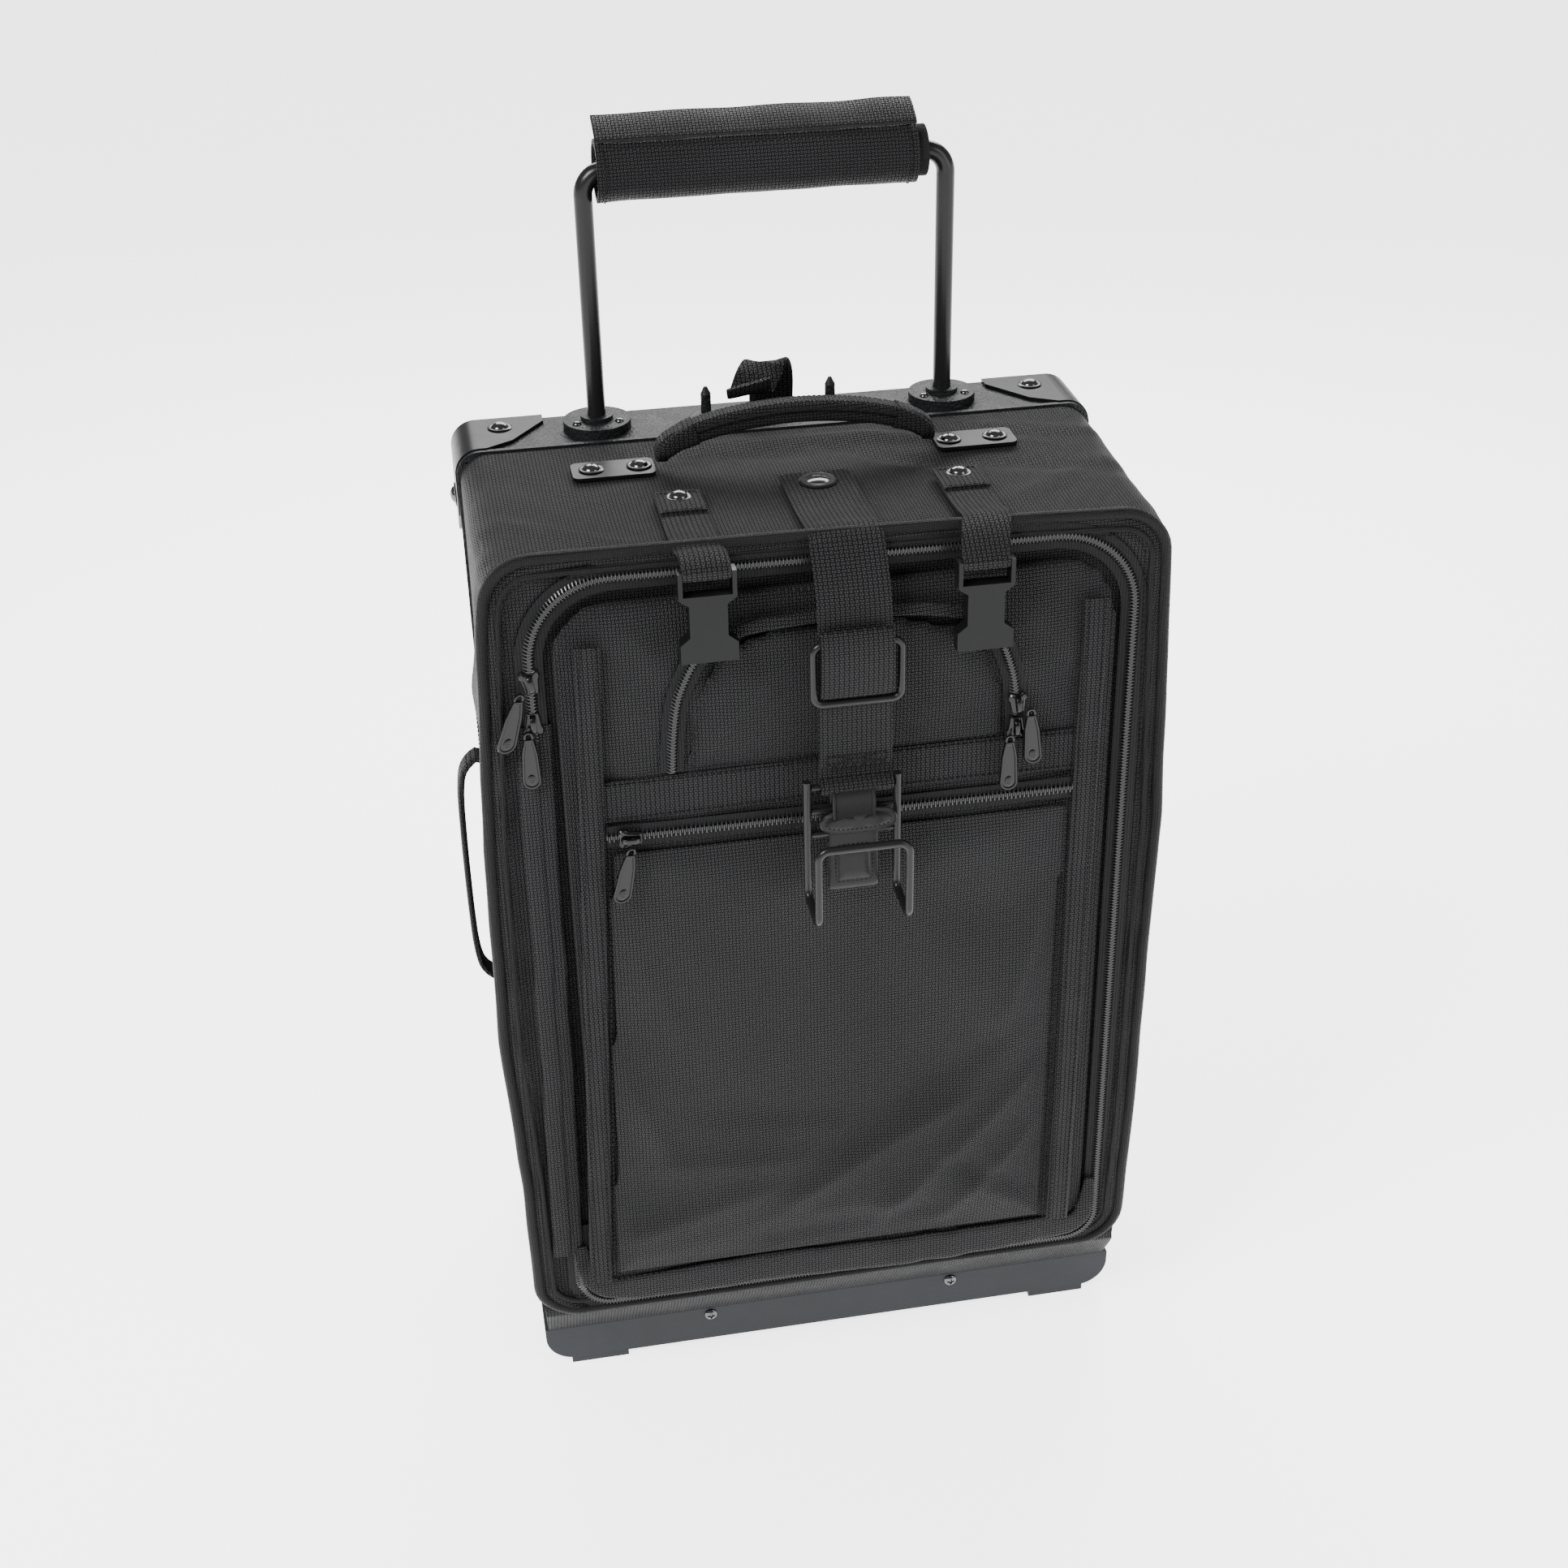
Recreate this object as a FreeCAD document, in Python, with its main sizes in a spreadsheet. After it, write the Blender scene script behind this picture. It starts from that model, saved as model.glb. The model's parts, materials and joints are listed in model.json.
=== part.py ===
"""Rolling flight case with a hard rear frame, a zipped front panel and an add-a-bag hook.

Millimetres. +X is the case's right side, +Y its back, +Z up, and the floor is z = 0.
Sub-parts are drawn in the case's own frame, whose origin is below the middle of the shell, and
each Placement then moves them so that the origin is under the middle of the whole object.
"""
import FreeCAD, Part
import math
import os
import re
import Sketcher
from FreeCAD import Placement, Rotation, Vector

DIMENSIONS = {
    "frame_shift_x": 6.9, "frame_shift_y": 10.35,
    # rear frame and fabric shell
    "frame_half": 178.0, "frame_top": 550.5, "frame_bottom": 12.0, "frame_front": 63.0,
    "frame_back": 110.0, "frame_wall": 4.0, "frame_corner": 12.0, "lip_height": 1.2, "lip_width": 3.0,
    "shell_half": 176.0, "shell_top": 549.5, "shell_bottom": 30.2, "shell_front": -85.0,
    "shell_wall": 3.0, "shell_toe": -63.0, "shell_knee": 62.0, "shell_corner": 14.0,
    "well_side": 138.0, "well_top": 78.0, "well_front": 50.0, "gap": 0.2,
    "mouth_left": -148.0, "mouth_right": 151.0, "mouth_low": 80.0, "mouth_high": 532.0,
    "panel_sheet": 3.6, "piping_radius": 2.5, "piping_half": 172.5, "piping_low": 64.5,
    "piping_top": 546.8, "piping_bend": 24.0,
    # corner guards and rivets
    "guard_reach": 127.0, "guard_drop": 60.0, "guard_sheet": 2.0, "guard_cut_back": 101.0,
    "guard_knee_back": 75.0, "guard_knee_step": 19.0, "guard_cut_step": 39.0,
    "guard_rivet_side": 151.5, "guard_rivet_back": 94.3, "guard_rivet_drop": 36.0,
    "rivet_radius": 5.0, "rivet_height": 3.4, "centre_rivet_side": 5.0,
    # front panel, zips and pockets
    "panel_left": -150.5, "panel_right": 153.5, "panel_low": 76.5, "panel_high": 535.5,
    "panel_face": -96.0, "panel_corner": 38.0, "zip_face": -88.4, "zip_outer_step": 8.8,
    "zip_inner_step": 0.8,
    "zip_gap_low": 132.0, "zip_gap_high": 453.0, "zip_gap_side": -140.0,
    "pocket_low": 96.0, "pocket_high": 394.3, "pocket_face": -102.0, "chain_face": -101.0,
    "chain_low": 394.6, "chain_high": 402.4, "band_low": 408.5, "band_high": 432.5,
    "band_left": -122.0, "band_right": 126.8, "band_face": -98.4, "binding_face": -98.6,
    "binding_high": 509.0, "small_low": 433.0, "small_high": 511.0, "small_chain_face": -100.5,
    # skid plate, feet and wheels
    "skid_low": 5.0, "skid_high": 29.7, "skid_front": -63.0, "skid_wall": 3.0, "skid_corner": 18.0,
    "skid_screw_side": 76.0, "skid_screw_height": 24.5, "screw_radius": 4.0, "screw_head": 2.0,
    "foot_inner": 128.0, "foot_outer": 163.0, "foot_front": -62.0, "foot_back": -36.0,
    "wheel_radius": 35.0, "wheel_back": 92.0, "tyre_inner": 24.0, "hub_half": 14.0,
    "tyre_half": 12.0, "tyre_shoulder": 7.0, "wheel_side": 158.8,
    "bearing_radius": 11.0, "bearing_width": 7.0,
    "bearing_bore": 4.0, "axle_radius": 3.95, "housing_wall": 3.5, "axle_head": 7.0,
    "axle_head_height": 1.6,
    # pull handle
    "rod_side": 98.0, "rod_back": 88.0, "rod_radius": 5.0, "rod_end": 200.0, "rod_bend": 12.5,
    "grip_height": 691.0, "foam_radius": 13.5, "foam_left": -82.0, "foam_right": 86.0,
    "wrap_radius": 16.0, "wrap_left": -91.0, "wrap_right": 80.0, "tube_radius": 8.0,
    "tube_bore": 7.0, "tube_low": 60.0, "bush_radius": 6.9, "bush_length": 12.0,
    "bezel_radius": 18.75, "bezel_bore": 5.08, "bezel_step": 5.5, "bezel_height": 8.0,
    "bezel_collar": 9.0, "bezel_screw_ring": 13.6, "bezel_screw": 2.4, "bezel_screw_head": 1.5,
    "pin_side": 35.5, "pin_back": 98.0, "pin_radius": 2.9, "pin_length": 11.0, "pin_tip": 4.0,
    "pin_point": 1.0,
    # strap behind the frame
    "rear_low": 520.0, "rear_knee": 556.0, "rear_high": 575.0, "rear_left": -16.0,
    "rear_right": 18.0,
    # carry handles
    "carry_middle": 1.5, "carry_back": 22.0, "carry_plate_inner": 76.5, "carry_plate_outer": 120.5,
    "carry_plate_half": 11.0, "plate_corner": 4.0, "plate_sheet": 2.0, "carry_rivet_inner": 84.5,
    "carry_rivet_outer": 110.0, "carry_radius": 6.5, "carry_pivot": 556.5, "carry_reach": 74.4,
    "carry_knee": 62.0, "carry_shoulder": 36.0, "carry_bend": 10.0, "carry_top": 576.0,
    "side_pivot": -182.5, "side_outer": -196.0, "side_back": -10.0,
    "side_half": 7.0, "side_high": 408.0, "side_low": 258.5, "tab_half": 12.0, "tab_sheet": 1.2,
    "tab_length": 26.0,
    # straps over the top front edge
    "web": 2.0, "edge_back": -87.0, "flip_back": -88.8, "flip_height": 552.9,
    "strap_left": -13.6, "strap_right": 24.6, "strap_rear": -8.0, "centre_rivet_back": -22.0,
    "centre_rivet_radius": 8.0, "strap_face": -114.0, "strap_knee": 527.0, "pin_line": -115.5,
    "top_pin": 424.0, "loop_radius": 3.9, "loop_bore": 2.1, "cross_pin_radius": 1.6,
    "middle_pin": 410.0, "low_pin": 396.0, "hook_left": -20.5, "hook_right": 27.0,
    "hook_wire": 2.2, "hook_floor": 358.5, "hook_top": 404.0, "hook_front": -145.5,
    "hook_bend": 6.0, "hook_middle": 3.2, "ring_left": -16.5, "ring_right": 28.5, "ring_low": 472.5,
    "ring_high": 505.5, "ring_line": -116.6, "ring_wire": 2.0, "ring_bend": 5.0,
    "pad_half": 20.0, "pad_sheet": 3.0, "pad_low": 396.0, "pad_high": 412.0, "pad_stand_off": 3.5,
    "keeper_left": -9.5, "keeper_right": 16.0, "keeper_low": 362.0,
    # buckle straps
    "buckle_web_half": 12.0, "buckle_rear": -20.0, "buckle_rivet_back": -29.0,
    "buckle_line": -107.0, "buckle_half": 14.5, "buckle_waist": 9.5, "buckle_eye": 12.3,
    "buckle_depth": 4.0, "socket_half": 7.5, "socket_depth": 2.4, "socket_end": 21.0,
    "buckle_bar": 1.6, "buckle_loop": 3.4, "buckle_bore": 2.0, "buckle_length": 47.0,
    # zip sliders and pulls
    "pull_half": 5.0, "pull_neck": 3.4, "pull_slot": 2.2, "pull_length": 29.0, "pull_sheet": 2.2,
}

# Corners of what is sewn on the front panel, each as x and z; a name is a value of the sheet.
OUTLINES = {
    "large_pocket": [("-139.2", "pocket_low"), ("124.8", "pocket_low"), ("126.8", "pocket_high"),
                     ("-125.4", "pocket_high")],
    "small_pocket": [("-80", "small_low"), ("-76", "471"), ("-60", "499"), ("-32", "510"),
                     ("26", "small_high"), ("72", "497"), ("86", "465"), ("88", "small_low")],
    "small_chain_left": [("-90.5", "small_low"), ("-80.5", "small_low"), ("-76.6", "471.3"),
                         ("-60.8", "499.6"), ("-68.5", "504"), ("-86.3", "473")],
    "small_chain_right": [("88.5", "small_low"), ("98.5", "small_low"), ("95", "474"),
                          ("80", "503"), ("72.6", "497.7"), ("86.5", "465.2")],
    "large_chain": [("-125", "chain_low"), ("126.6", "chain_low"), ("126.6", "chain_high"),
                    ("-125", "chain_high")],
    "binding_left": [("-148", "pocket_low"), ("-140", "pocket_low"), ("-121.5", "binding_high"),
                     ("-132", "binding_high")],
    "binding_right": [("125.3", "pocket_low"), ("139", "pocket_low"), ("142.5", "binding_high"),
                      ("128.3", "binding_high")],
}

# Where each buckle strap is riveted, where its buckle hangs, and how high the buckle's bar is.
BUCKLES = {
    "left": {"anchor": "-69", "buckle": "-67", "height": "546.5"},
    "right": {"anchor": "78.5", "buckle": "73", "height": "538.5"},
}

# Each slider as its range of x, its range of z, and the face of the zip that it runs on.
SLIDERS = {
    "pocket_slider": [("-118", "-104", "chain_low - 2.5", "chain_high + 0.6", "chain_face - 0.7",
                       "pocket_face")],
    "main_zip_sliders": [("-159.5", "-150.8", "481", "493", "zip_face", "zip_face"),
                         ("-159.5", "-150.8", "458", "470", "zip_face", "zip_face")],
    "small_pocket_sliders": [("90", "98", "448", "459", "small_chain_face", "small_chain_face"),
                             ("89.5", "97.5", "434.5", "445", "small_chain_face", "small_chain_face")],
}

# Each pull hangs in a plane at its own depth: its middle at the top, where it leans to at the bottom,
# and its own back face.
PULLS = {
    "pocket_pull": {"x": "-112", "top": "391.5", "lean": "-6.5", "back": "chain_face - 5.6"},
    "main_pull_upper": {"x": "-162", "top": "480", "lean": "-9", "back": "zip_face - 4.9"},
    "main_pull_lower": {"x": "-158.6", "top": "458", "lean": "0", "back": "zip_face - 4.9"},
    "small_pull_upper": {"x": "100", "top": "448.5", "lean": "2", "back": "small_chain_face - 4.9"},
    "small_pull_lower": {"x": "89", "top": "434", "lean": "0", "back": "small_chain_face - 4.9"},
}

doc = FreeCAD.newDocument("flight_case")
sheet = doc.addObject("Spreadsheet::Sheet", "dims")
for row, (alias, value) in enumerate(DIMENSIONS.items(), 1):
    sheet.set(f"A{row}", alias)
    sheet.set(f"B{row}", str(value))
    sheet.setAlias(f"B{row}", alias)
doc.recompute()

SUBPARTS = []
AXES = {"x": Vector(1, 0, 0), "y": Vector(0, 1, 0), "z": Vector(0, 0, 1)}
TURNS = {"x": Rotation(Vector(0, 1, 0), 90), "y": Rotation(Vector(1, 0, 0), -90), "z": Rotation()}


def number(expression):
    """Value of a sum such as 'frame_top - 2*frame_wall', with its names read from the sheet."""
    total = 0.0
    for term in expression.replace(" ", "").replace("-", "+-").split("+"):
        if not term:
            continue
        product = -1.0 if term.startswith("-") else 1.0
        for factor in term.lstrip("-").split("*"):
            product *= float(sheet.get(factor)) if factor[0].isalpha() else float(factor)
        total += product
    return total


def bound(expression):
    """The same sum as an expression, with every name pointing at the sheet."""
    return re.sub(r"([a-z]\w*)", r"dims.\1", expression)


def register(subpart, label):
    """Name a finished sub-part and give it the shift to the object's own origin."""
    if subpart.TypeId in ("Part::Box", "Part::Ellipsoid"):
        subpart.Label = label + " solid"
        subpart = group(label, [subpart])
    subpart.Label = label
    subpart.setExpression("Placement.Base.x", "dims.frame_shift_x")
    subpart.setExpression("Placement.Base.y", "dims.frame_shift_y")
    SUBPARTS.append(subpart)


def new_body(name):
    return doc.addObject("PartDesign::Body", name)


def new_sketch(body, plane, position):
    """A sketch parallel to one of the body's own origin planes."""
    sketch = body.newObject("Sketcher::SketchObject", "outline")
    support = next(f for f in body.Origin.OriginFeatures if f.Role == plane + "_Plane")
    sketch.AttachmentSupport = [(support, "")]
    sketch.MapMode = "FlatFace"
    sign = "-" if plane == "XZ" else ""
    sketch.setExpression("AttachmentOffset.Base.z", f"{sign}({bound(position)})")
    return sketch


def draw_outline(sketch, points):
    """A closed polygon whose corners are tied to the sheet."""
    corners = [Vector(number(u), number(v), 0) for u, v in points]
    for start, end in zip(corners, corners[1:] + corners[:1]):
        sketch.addGeometry(Part.LineSegment(start, end), False)
    for edge in range(len(corners)):
        following = (edge + 1) % len(corners)
        sketch.addConstraint(Sketcher.Constraint("Coincident", edge, 2, following, 1))
    for edge, (u, v) in enumerate(points):
        for kind, place in (("DistanceX", u), ("DistanceY", v)):
            tie = sketch.addConstraint(Sketcher.Constraint(kind, -1, 1, edge, 1, number(place)))
            sketch.setExpression(f"Constraints[{tie}]", bound(place))


def draw_circle(sketch, u, v, radius):
    """A circle whose centre and radius are tied to the sheet."""
    centre = Vector(number(u), number(v), 0)
    circle = sketch.addGeometry(Part.Circle(centre, Vector(0, 0, 1), number(radius)), False)
    ties = (("DistanceX", u), ("DistanceY", v))
    for kind, place in ties:
        tie = sketch.addConstraint(Sketcher.Constraint(kind, -1, 1, circle, 3, number(place)))
        sketch.setExpression(f"Constraints[{tie}]", bound(place))
    tie = sketch.addConstraint(Sketcher.Constraint("Radius", circle, number(radius)))
    sketch.setExpression(f"Constraints[{tie}]", bound(radius))


def add(body, plane, drawing, low, high):
    """Pad a drawing from low to high along the axis across the plane."""
    sketch = new_sketch(body, plane, high if plane == "XZ" else low)
    drawing(sketch)
    feature = body.newObject("PartDesign::Pad", "pad")
    feature.Profile = sketch
    feature.setExpression("Length", bound(f"({high})-({low})"))
    return feature


def remove(body, plane, drawing, low, high):
    """Pocket a drawing from low to high along the axis across the plane."""
    doc.recompute()
    before = body.Shape.Volume
    sketch = new_sketch(body, plane, low if plane == "XZ" else high)
    drawing(sketch)
    feature = body.newObject("PartDesign::Pocket", "pocket")
    feature.Profile = sketch
    feature.setExpression("Length", bound(f"({high})-({low})"))
    doc.recompute()
    if body.Shape.Volume > before - 0.01:
        raise RuntimeError(f"a pocket in {body.Name} cuts nothing")


def outline(points):
    return lambda sketch: draw_outline(sketch, points)


def circle(u, v, radius):
    return lambda sketch: draw_circle(sketch, u, v, radius)


def rectangle(u_low, u_high, v_low, v_high):
    return outline([(u_low, v_low), (u_high, v_low), (u_high, v_high), (u_low, v_high)])


def round_edges(body, axis, radius, wanted=lambda place: True):
    """Fillet the straight edges along an axis whose middles are wanted."""
    doc.recompute()
    tip = body.Tip
    names = []
    for index, edge in enumerate(tip.Shape.Edges, 1):
        if edge.Curve.TypeId != "Part::GeomLine":
            continue
        along = abs(edge.tangentAt(edge.FirstParameter).dot(AXES[axis])) > 0.99
        if along and wanted(edge.CenterOfMass):
            names.append(f"Edge{index}")
    fillet = body.newObject("PartDesign::Fillet", "fillet")
    fillet.Base = (tip, names)
    fillet.setExpression("Radius", bound(radius))


def slab(name, plane, drawing, low, high):
    """A body with one pad."""
    body = new_body(name)
    add(body, plane, drawing, low, high)
    return body


def box(name, x, y, z):
    solid = doc.addObject("Part::Box", name)
    for size, axis, (low, high) in zip(("Length", "Width", "Height"), "xyz", (x, y, z)):
        solid.setExpression(size, bound(f"({high})-({low})"))
        solid.setExpression(f"Placement.Base.{axis}", bound(low))
    return solid


def place(solid, axis, x, y, z):
    """Stand a primitive along an axis with its base at a bound point."""
    solid.Placement = Placement(Vector(number(x), number(y), number(z)), TURNS[axis])
    for direction, value in zip("xyz", (x, y, z)):
        solid.setExpression(f"Placement.Base.{direction}", bound(value))
    return solid


def cylinder(name, axis, x, y, z, radius, length):
    solid = doc.addObject("Part::Cylinder", name)
    solid.setExpression("Radius", bound(radius))
    solid.setExpression("Height", bound(length))
    return place(solid, axis, x, y, z)


def tube(name, axis, x, y, z, radius, bore, length):
    outer = cylinder(name + "_outer", axis, x, y, z, radius, length)
    inner = cylinder(name + "_bore", axis, x, y, z, bore, length)
    return cut(name, outer, inner)


def dome(name, turn, x, y, z, radius, height):
    """Half an ellipsoid standing on its flat side; turn carries +Z to the way it faces."""
    solid = doc.addObject("Part::Ellipsoid", name)
    solid.setExpression("Radius1", bound(height))
    solid.setExpression("Radius2", bound(radius))
    solid.setExpression("Radius3", bound(radius))
    solid.Angle1 = 0
    solid.Placement = Placement(Vector(number(x), number(y), number(z)), turn)
    for direction, value in zip("xyz", (x, y, z)):
        solid.setExpression(f"Placement.Base.{direction}", bound(value))
    return solid


def cut(name, base, tool):
    result = doc.addObject("Part::Cut", name)
    result.Base = base
    result.Tool = tool
    return result


def fuse(name, parts):
    result = doc.addObject("Part::MultiFuse", name)
    result.Shapes = parts
    return result


def group(name, parts):
    result = doc.addObject("Part::Compound", name)
    result.Links = parts
    return result


def mirrored(solid):
    """The same piece on the other side of the case's middle plane."""
    result = doc.addObject("Part::Mirroring", solid.Name + "_mirrored")
    result.Source = solid
    result.Normal = AXES["x"]
    return result


def bent_path(points, bend, closed=False):
    """A wire through the points whose corners are rounded with tangent arcs."""
    count = len(points)
    edges = []
    start = (points[-1] + points[0]) / 2 if closed else points[0]
    finish = start if closed else points[-1]
    for index in range(count) if closed else range(1, count - 1):
        corner = points[index]
        back = (points[index - 1] - corner).normalize()
        ahead = (points[(index + 1) % count] - corner).normalize()
        half = back.getAngle(ahead) / 2
        arc_start = corner + back * (bend / math.tan(half))
        arc_end = corner + ahead * (bend / math.tan(half))
        middle = corner + (back + ahead).normalize() * (bend / math.sin(half) - bend)
        edges.append(Part.LineSegment(start, arc_start).toShape())
        edges.append(Part.Arc(arc_start, middle, arc_end).toShape())
        start = arc_end
    edges.append(Part.LineSegment(start, finish).toShape())
    return Part.Wire(edges)


def bent_wire(name, points, bend, radius, closed=False):
    """A round bar swept along bound points with rounded corners."""
    corners = [Vector(*(number(value) for value in point)) for point in points]
    path = bent_path(corners, number(bend), closed)
    spine = doc.addObject("Part::Feature", name + "_path")
    spine.Shape = path
    start = path.Edges[0].Vertexes[0].Point
    run = path.Edges[0].Vertexes[1].Point - start
    profile = doc.addObject("Part::Circle", name + "_section")
    profile.setExpression("Radius", bound(radius))
    profile.Placement = Placement(start, Rotation(AXES["z"], run))
    sweep = doc.addObject("Part::Sweep", name)
    sweep.Sections = [profile]
    sweep.Spine = (spine, [f"Edge{index}" for index in range(1, len(path.Edges) + 1)])
    sweep.Solid = True
    return sweep


def shell_block(name, inset, back):
    """The shell's block with its two top corners rounded, moved in by an inset."""
    body = slab(name, "YZ", outline([(back, f"shell_bottom + {inset}"),
                                     (f"shell_toe + {inset}", f"shell_bottom + {inset}"),
                                     (f"shell_front + {inset}", f"shell_knee + {inset}"),
                                     (f"shell_front + {inset}", f"shell_top - {inset}"),
                                     (back, f"shell_top - {inset}")]),
                f"-shell_half + {inset}", f"shell_half - {inset}")
    top = number(f"shell_top - {inset}")
    round_edges(body, "y", f"shell_corner - {inset}", lambda centre: abs(centre.z - top) < 1)
    return body


def case_shell():
    """The fabric-covered tub: hollow, open at the front mouth, notched for the wheels."""
    outside = shell_block("shell_outside", "0", "frame_front - gap")
    for left, right in (("-frame_half - 1", "-well_side + gap"), ("well_side - gap", "frame_half + 1")):
        remove(outside, "YZ", rectangle("well_front - gap", "frame_front + 1", "shell_bottom - 1",
                                        "well_top + gap"), left, right)
    inside = shell_block("shell_inside", "shell_wall", "frame_front + 1")
    mouth = box("shell_mouth", ("mouth_left", "mouth_right"),
                ("shell_front - 1", "shell_front + shell_wall + 1"), ("mouth_low", "mouth_high"))
    register(cut("case_shell", outside, fuse("shell_hollow", [inside, mouth])), "case_shell")


def frame_outline(*insets):
    """The rear frame's outline with its two wheel notches, moved in by the insets."""
    inwards = "".join(f" - {inset}" for inset in insets)
    outwards = inwards.replace("-", "+")
    low = "frame_bottom" + outwards
    step = "well_top + gap" + outwards
    high = "frame_top" + inwards
    right = [("well_side" + inwards, low), ("well_side" + inwards, step),
             ("frame_half" + inwards, step), ("frame_half" + inwards, high)]
    left = [("-frame_half" + outwards, high), ("-frame_half" + outwards, step),
            ("-well_side" + outwards, step), ("-well_side" + outwards, low)]
    return outline(right + left)


def rear_frame():
    """The moulded ring at the back, with a hole for each rod of the pull handle."""
    body = new_body("rear_frame")
    add(body, "XZ", frame_outline("lip_height"), "frame_front", "frame_back")
    high = number("frame_top - 20")
    round_edges(body, "y", "frame_corner", lambda centre: centre.z > high)
    remove(body, "XZ", frame_outline("lip_height", "frame_wall"), "frame_front - 1", "frame_back + 1")
    for side in ("rod_side", "-rod_side"):
        remove(body, "XY", circle(side, "rod_back", "rod_radius + 0.6"), "frame_top - 10", "frame_top + 1")
    register(body, "rear_frame")


def lip_slab(name, inset, front, back):
    """A slab with the outline of the frame above its wheel notches, moved in by an inset."""
    body = slab(name, "XZ", rectangle(f"-frame_half + {inset}", f"frame_half - {inset}",
                                      "well_top + 1", f"frame_top - {inset}"), front, back)
    high = number("frame_top - 20")
    round_edges(body, "y", f"frame_corner + lip_height - {inset}", lambda centre: centre.z > high)
    return body


def frame_lip():
    """The thin raised lip that trims the frame's front edge."""
    outside = lip_slab("lip_outside", "0", "frame_front", "frame_front + lip_width")
    inside = lip_slab("lip_inside", "lip_height", "frame_front - 1", "frame_front + lip_width + 1")
    register(cut("frame_lip", outside, inside), "frame_lip")


def back_panel():
    """The flat panel that closes the rear frame."""
    panel = slab("back_panel", "XZ", frame_outline("lip_height", "frame_wall", "gap"),
                 "frame_back - panel_sheet - gap", "frame_back - gap")
    register(panel, "back_panel")


def front_piping():
    """The sewn cord that outlines the shell's front face."""
    line = "shell_front - piping_radius - 0.1"
    points = [("-piping_half", line, "piping_low"), ("-piping_half", line, "piping_top"),
              ("piping_half", line, "piping_top"), ("piping_half", line, "piping_low")]
    register(bent_wire("front_piping", points, "piping_bend", "piping_radius", True), "front_piping")


def corner_guards():
    """Smooth metal caps over the frame's two top corners, tapering along its front edge."""
    body = new_body("corner_guard")
    inner = "-frame_half + lip_height"
    outer = inner + " - guard_sheet"
    top = "frame_top - lip_height"
    high = top + " + guard_sheet"
    low = "frame_top - guard_drop"
    add(body, "XZ", outline([(outer, low), (inner, low), (inner, top), ("-guard_reach", top),
                             ("-guard_reach", high), (outer, high)]),
        "frame_front + lip_width + gap", "frame_back")
    inside = (number(inner), number(top))
    outside = (number(outer), number(high))
    for corner, radius in ((inside, "frame_corner"), (outside, "frame_corner + guard_sheet")):
        round_edges(body, "y", radius, lambda centre, corner=corner:
                    abs(centre.x - corner[0]) + abs(centre.z - corner[1]) < 0.1)
    tip = "-guard_reach"
    remove(body, "XY", outline([(f"{tip} + 1", "guard_cut_back"), (tip, "guard_cut_back"),
                                (f"{tip} - guard_knee_step", "guard_knee_back"),
                                (f"{tip} - guard_cut_step", "frame_front"), (f"{tip} + 1", "frame_front")]),
           f"{top} - 1", f"{high} + 1")
    remove(body, "YZ", outline([("guard_cut_back", f"{low} - 1"), ("guard_cut_back", low),
                                ("guard_knee_back", f"{low} + guard_knee_step"),
                                ("frame_front", f"{low} + guard_cut_step"), ("frame_front", f"{low} - 1")]),
           f"{outer} - 1", f"{inner} + 1")
    register(group("corner_guards", [body, mirrored(body)]), "corner_guards")


def rivets():
    """Dome-headed rivets of the guards, the carry handle plates and the buckle straps."""
    up = Rotation()
    heads = []
    for name, turn in (("left", Rotation(AXES["y"], -90)), ("right", Rotation(AXES["y"], 90))):
        sign = "-" if name == "left" else ""
        heads.append(dome("guard_top_" + name, up, f"{sign}guard_rivet_side", "guard_rivet_back",
                          "frame_top - lip_height + guard_sheet", "rivet_radius", "rivet_height"))
        reach = "frame_half - lip_height + guard_sheet"
        edge = "-frame_half + lip_height - guard_sheet" if name == "left" else reach
        heads.append(dome("guard_side_" + name, turn, edge, "guard_rivet_back",
                          "frame_top - guard_rivet_drop", "rivet_radius", "rivet_height"))
    for reach in ("carry_rivet_inner", "carry_rivet_outer"):
        for side in (f"carry_middle - {reach}", f"carry_middle + {reach}"):
            heads.append(dome("plate", up, side, "carry_back", "shell_top + plate_sheet + 0.1",
                              "rivet_radius", "rivet_height"))
    for middle in BUCKLES:
        heads.append(dome("strap", up, BUCKLES[middle]["anchor"], "buckle_rivet_back",
                          "shell_top + web + 0.1", "rivet_radius", "rivet_height"))
    register(group("dome_rivets", heads), "dome_rivets")
    register(dome("centre_rivet", up, "centre_rivet_side", "centre_rivet_back", "shell_top + web + 0.1",
                  "centre_rivet_radius", "rivet_height"), "centre_rivet")


def rounded_panel(name, step, face):
    """A slab with the front panel's outline, grown outwards by a step."""
    body = slab(name, "XZ", rectangle(f"panel_left - {step}", f"panel_right + {step}",
                                      f"panel_low - {step}", f"panel_high + {step}"),
                face, "shell_front - gap")
    middle = number("panel_high - 100")
    round_edges(body, "y", f"panel_corner + {step}", lambda centre: centre.z > middle)
    round_edges(body, "y", f"shell_corner + {step}", lambda centre: centre.z < middle)
    return body


def front_panel():
    """The padded panel that the main zip holds in the mouth."""
    register(rounded_panel("front_panel", "0", "panel_face"), "front_panel")


def main_zip_chain():
    """The zip round the front panel, left open where the panel is hinged on fabric."""
    ring = cut("zip_ring", rounded_panel("zip_outside", "zip_outer_step", "zip_face"),
               rounded_panel("zip_inside", "zip_inner_step", "zip_face"))
    hinge = box("zip_hinge_gap", ("panel_left - 20", "zip_gap_side"), ("zip_face - 1", "shell_front"),
                ("zip_gap_low", "zip_gap_high"))
    register(cut("main_zip_chain", ring, hinge), "main_zip_chain")


def sewn(name, face):
    """A flat piece on the front panel, from its outline."""
    return slab(name, "XZ", outline(OUTLINES[name]), face, "panel_face - gap")


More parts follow.
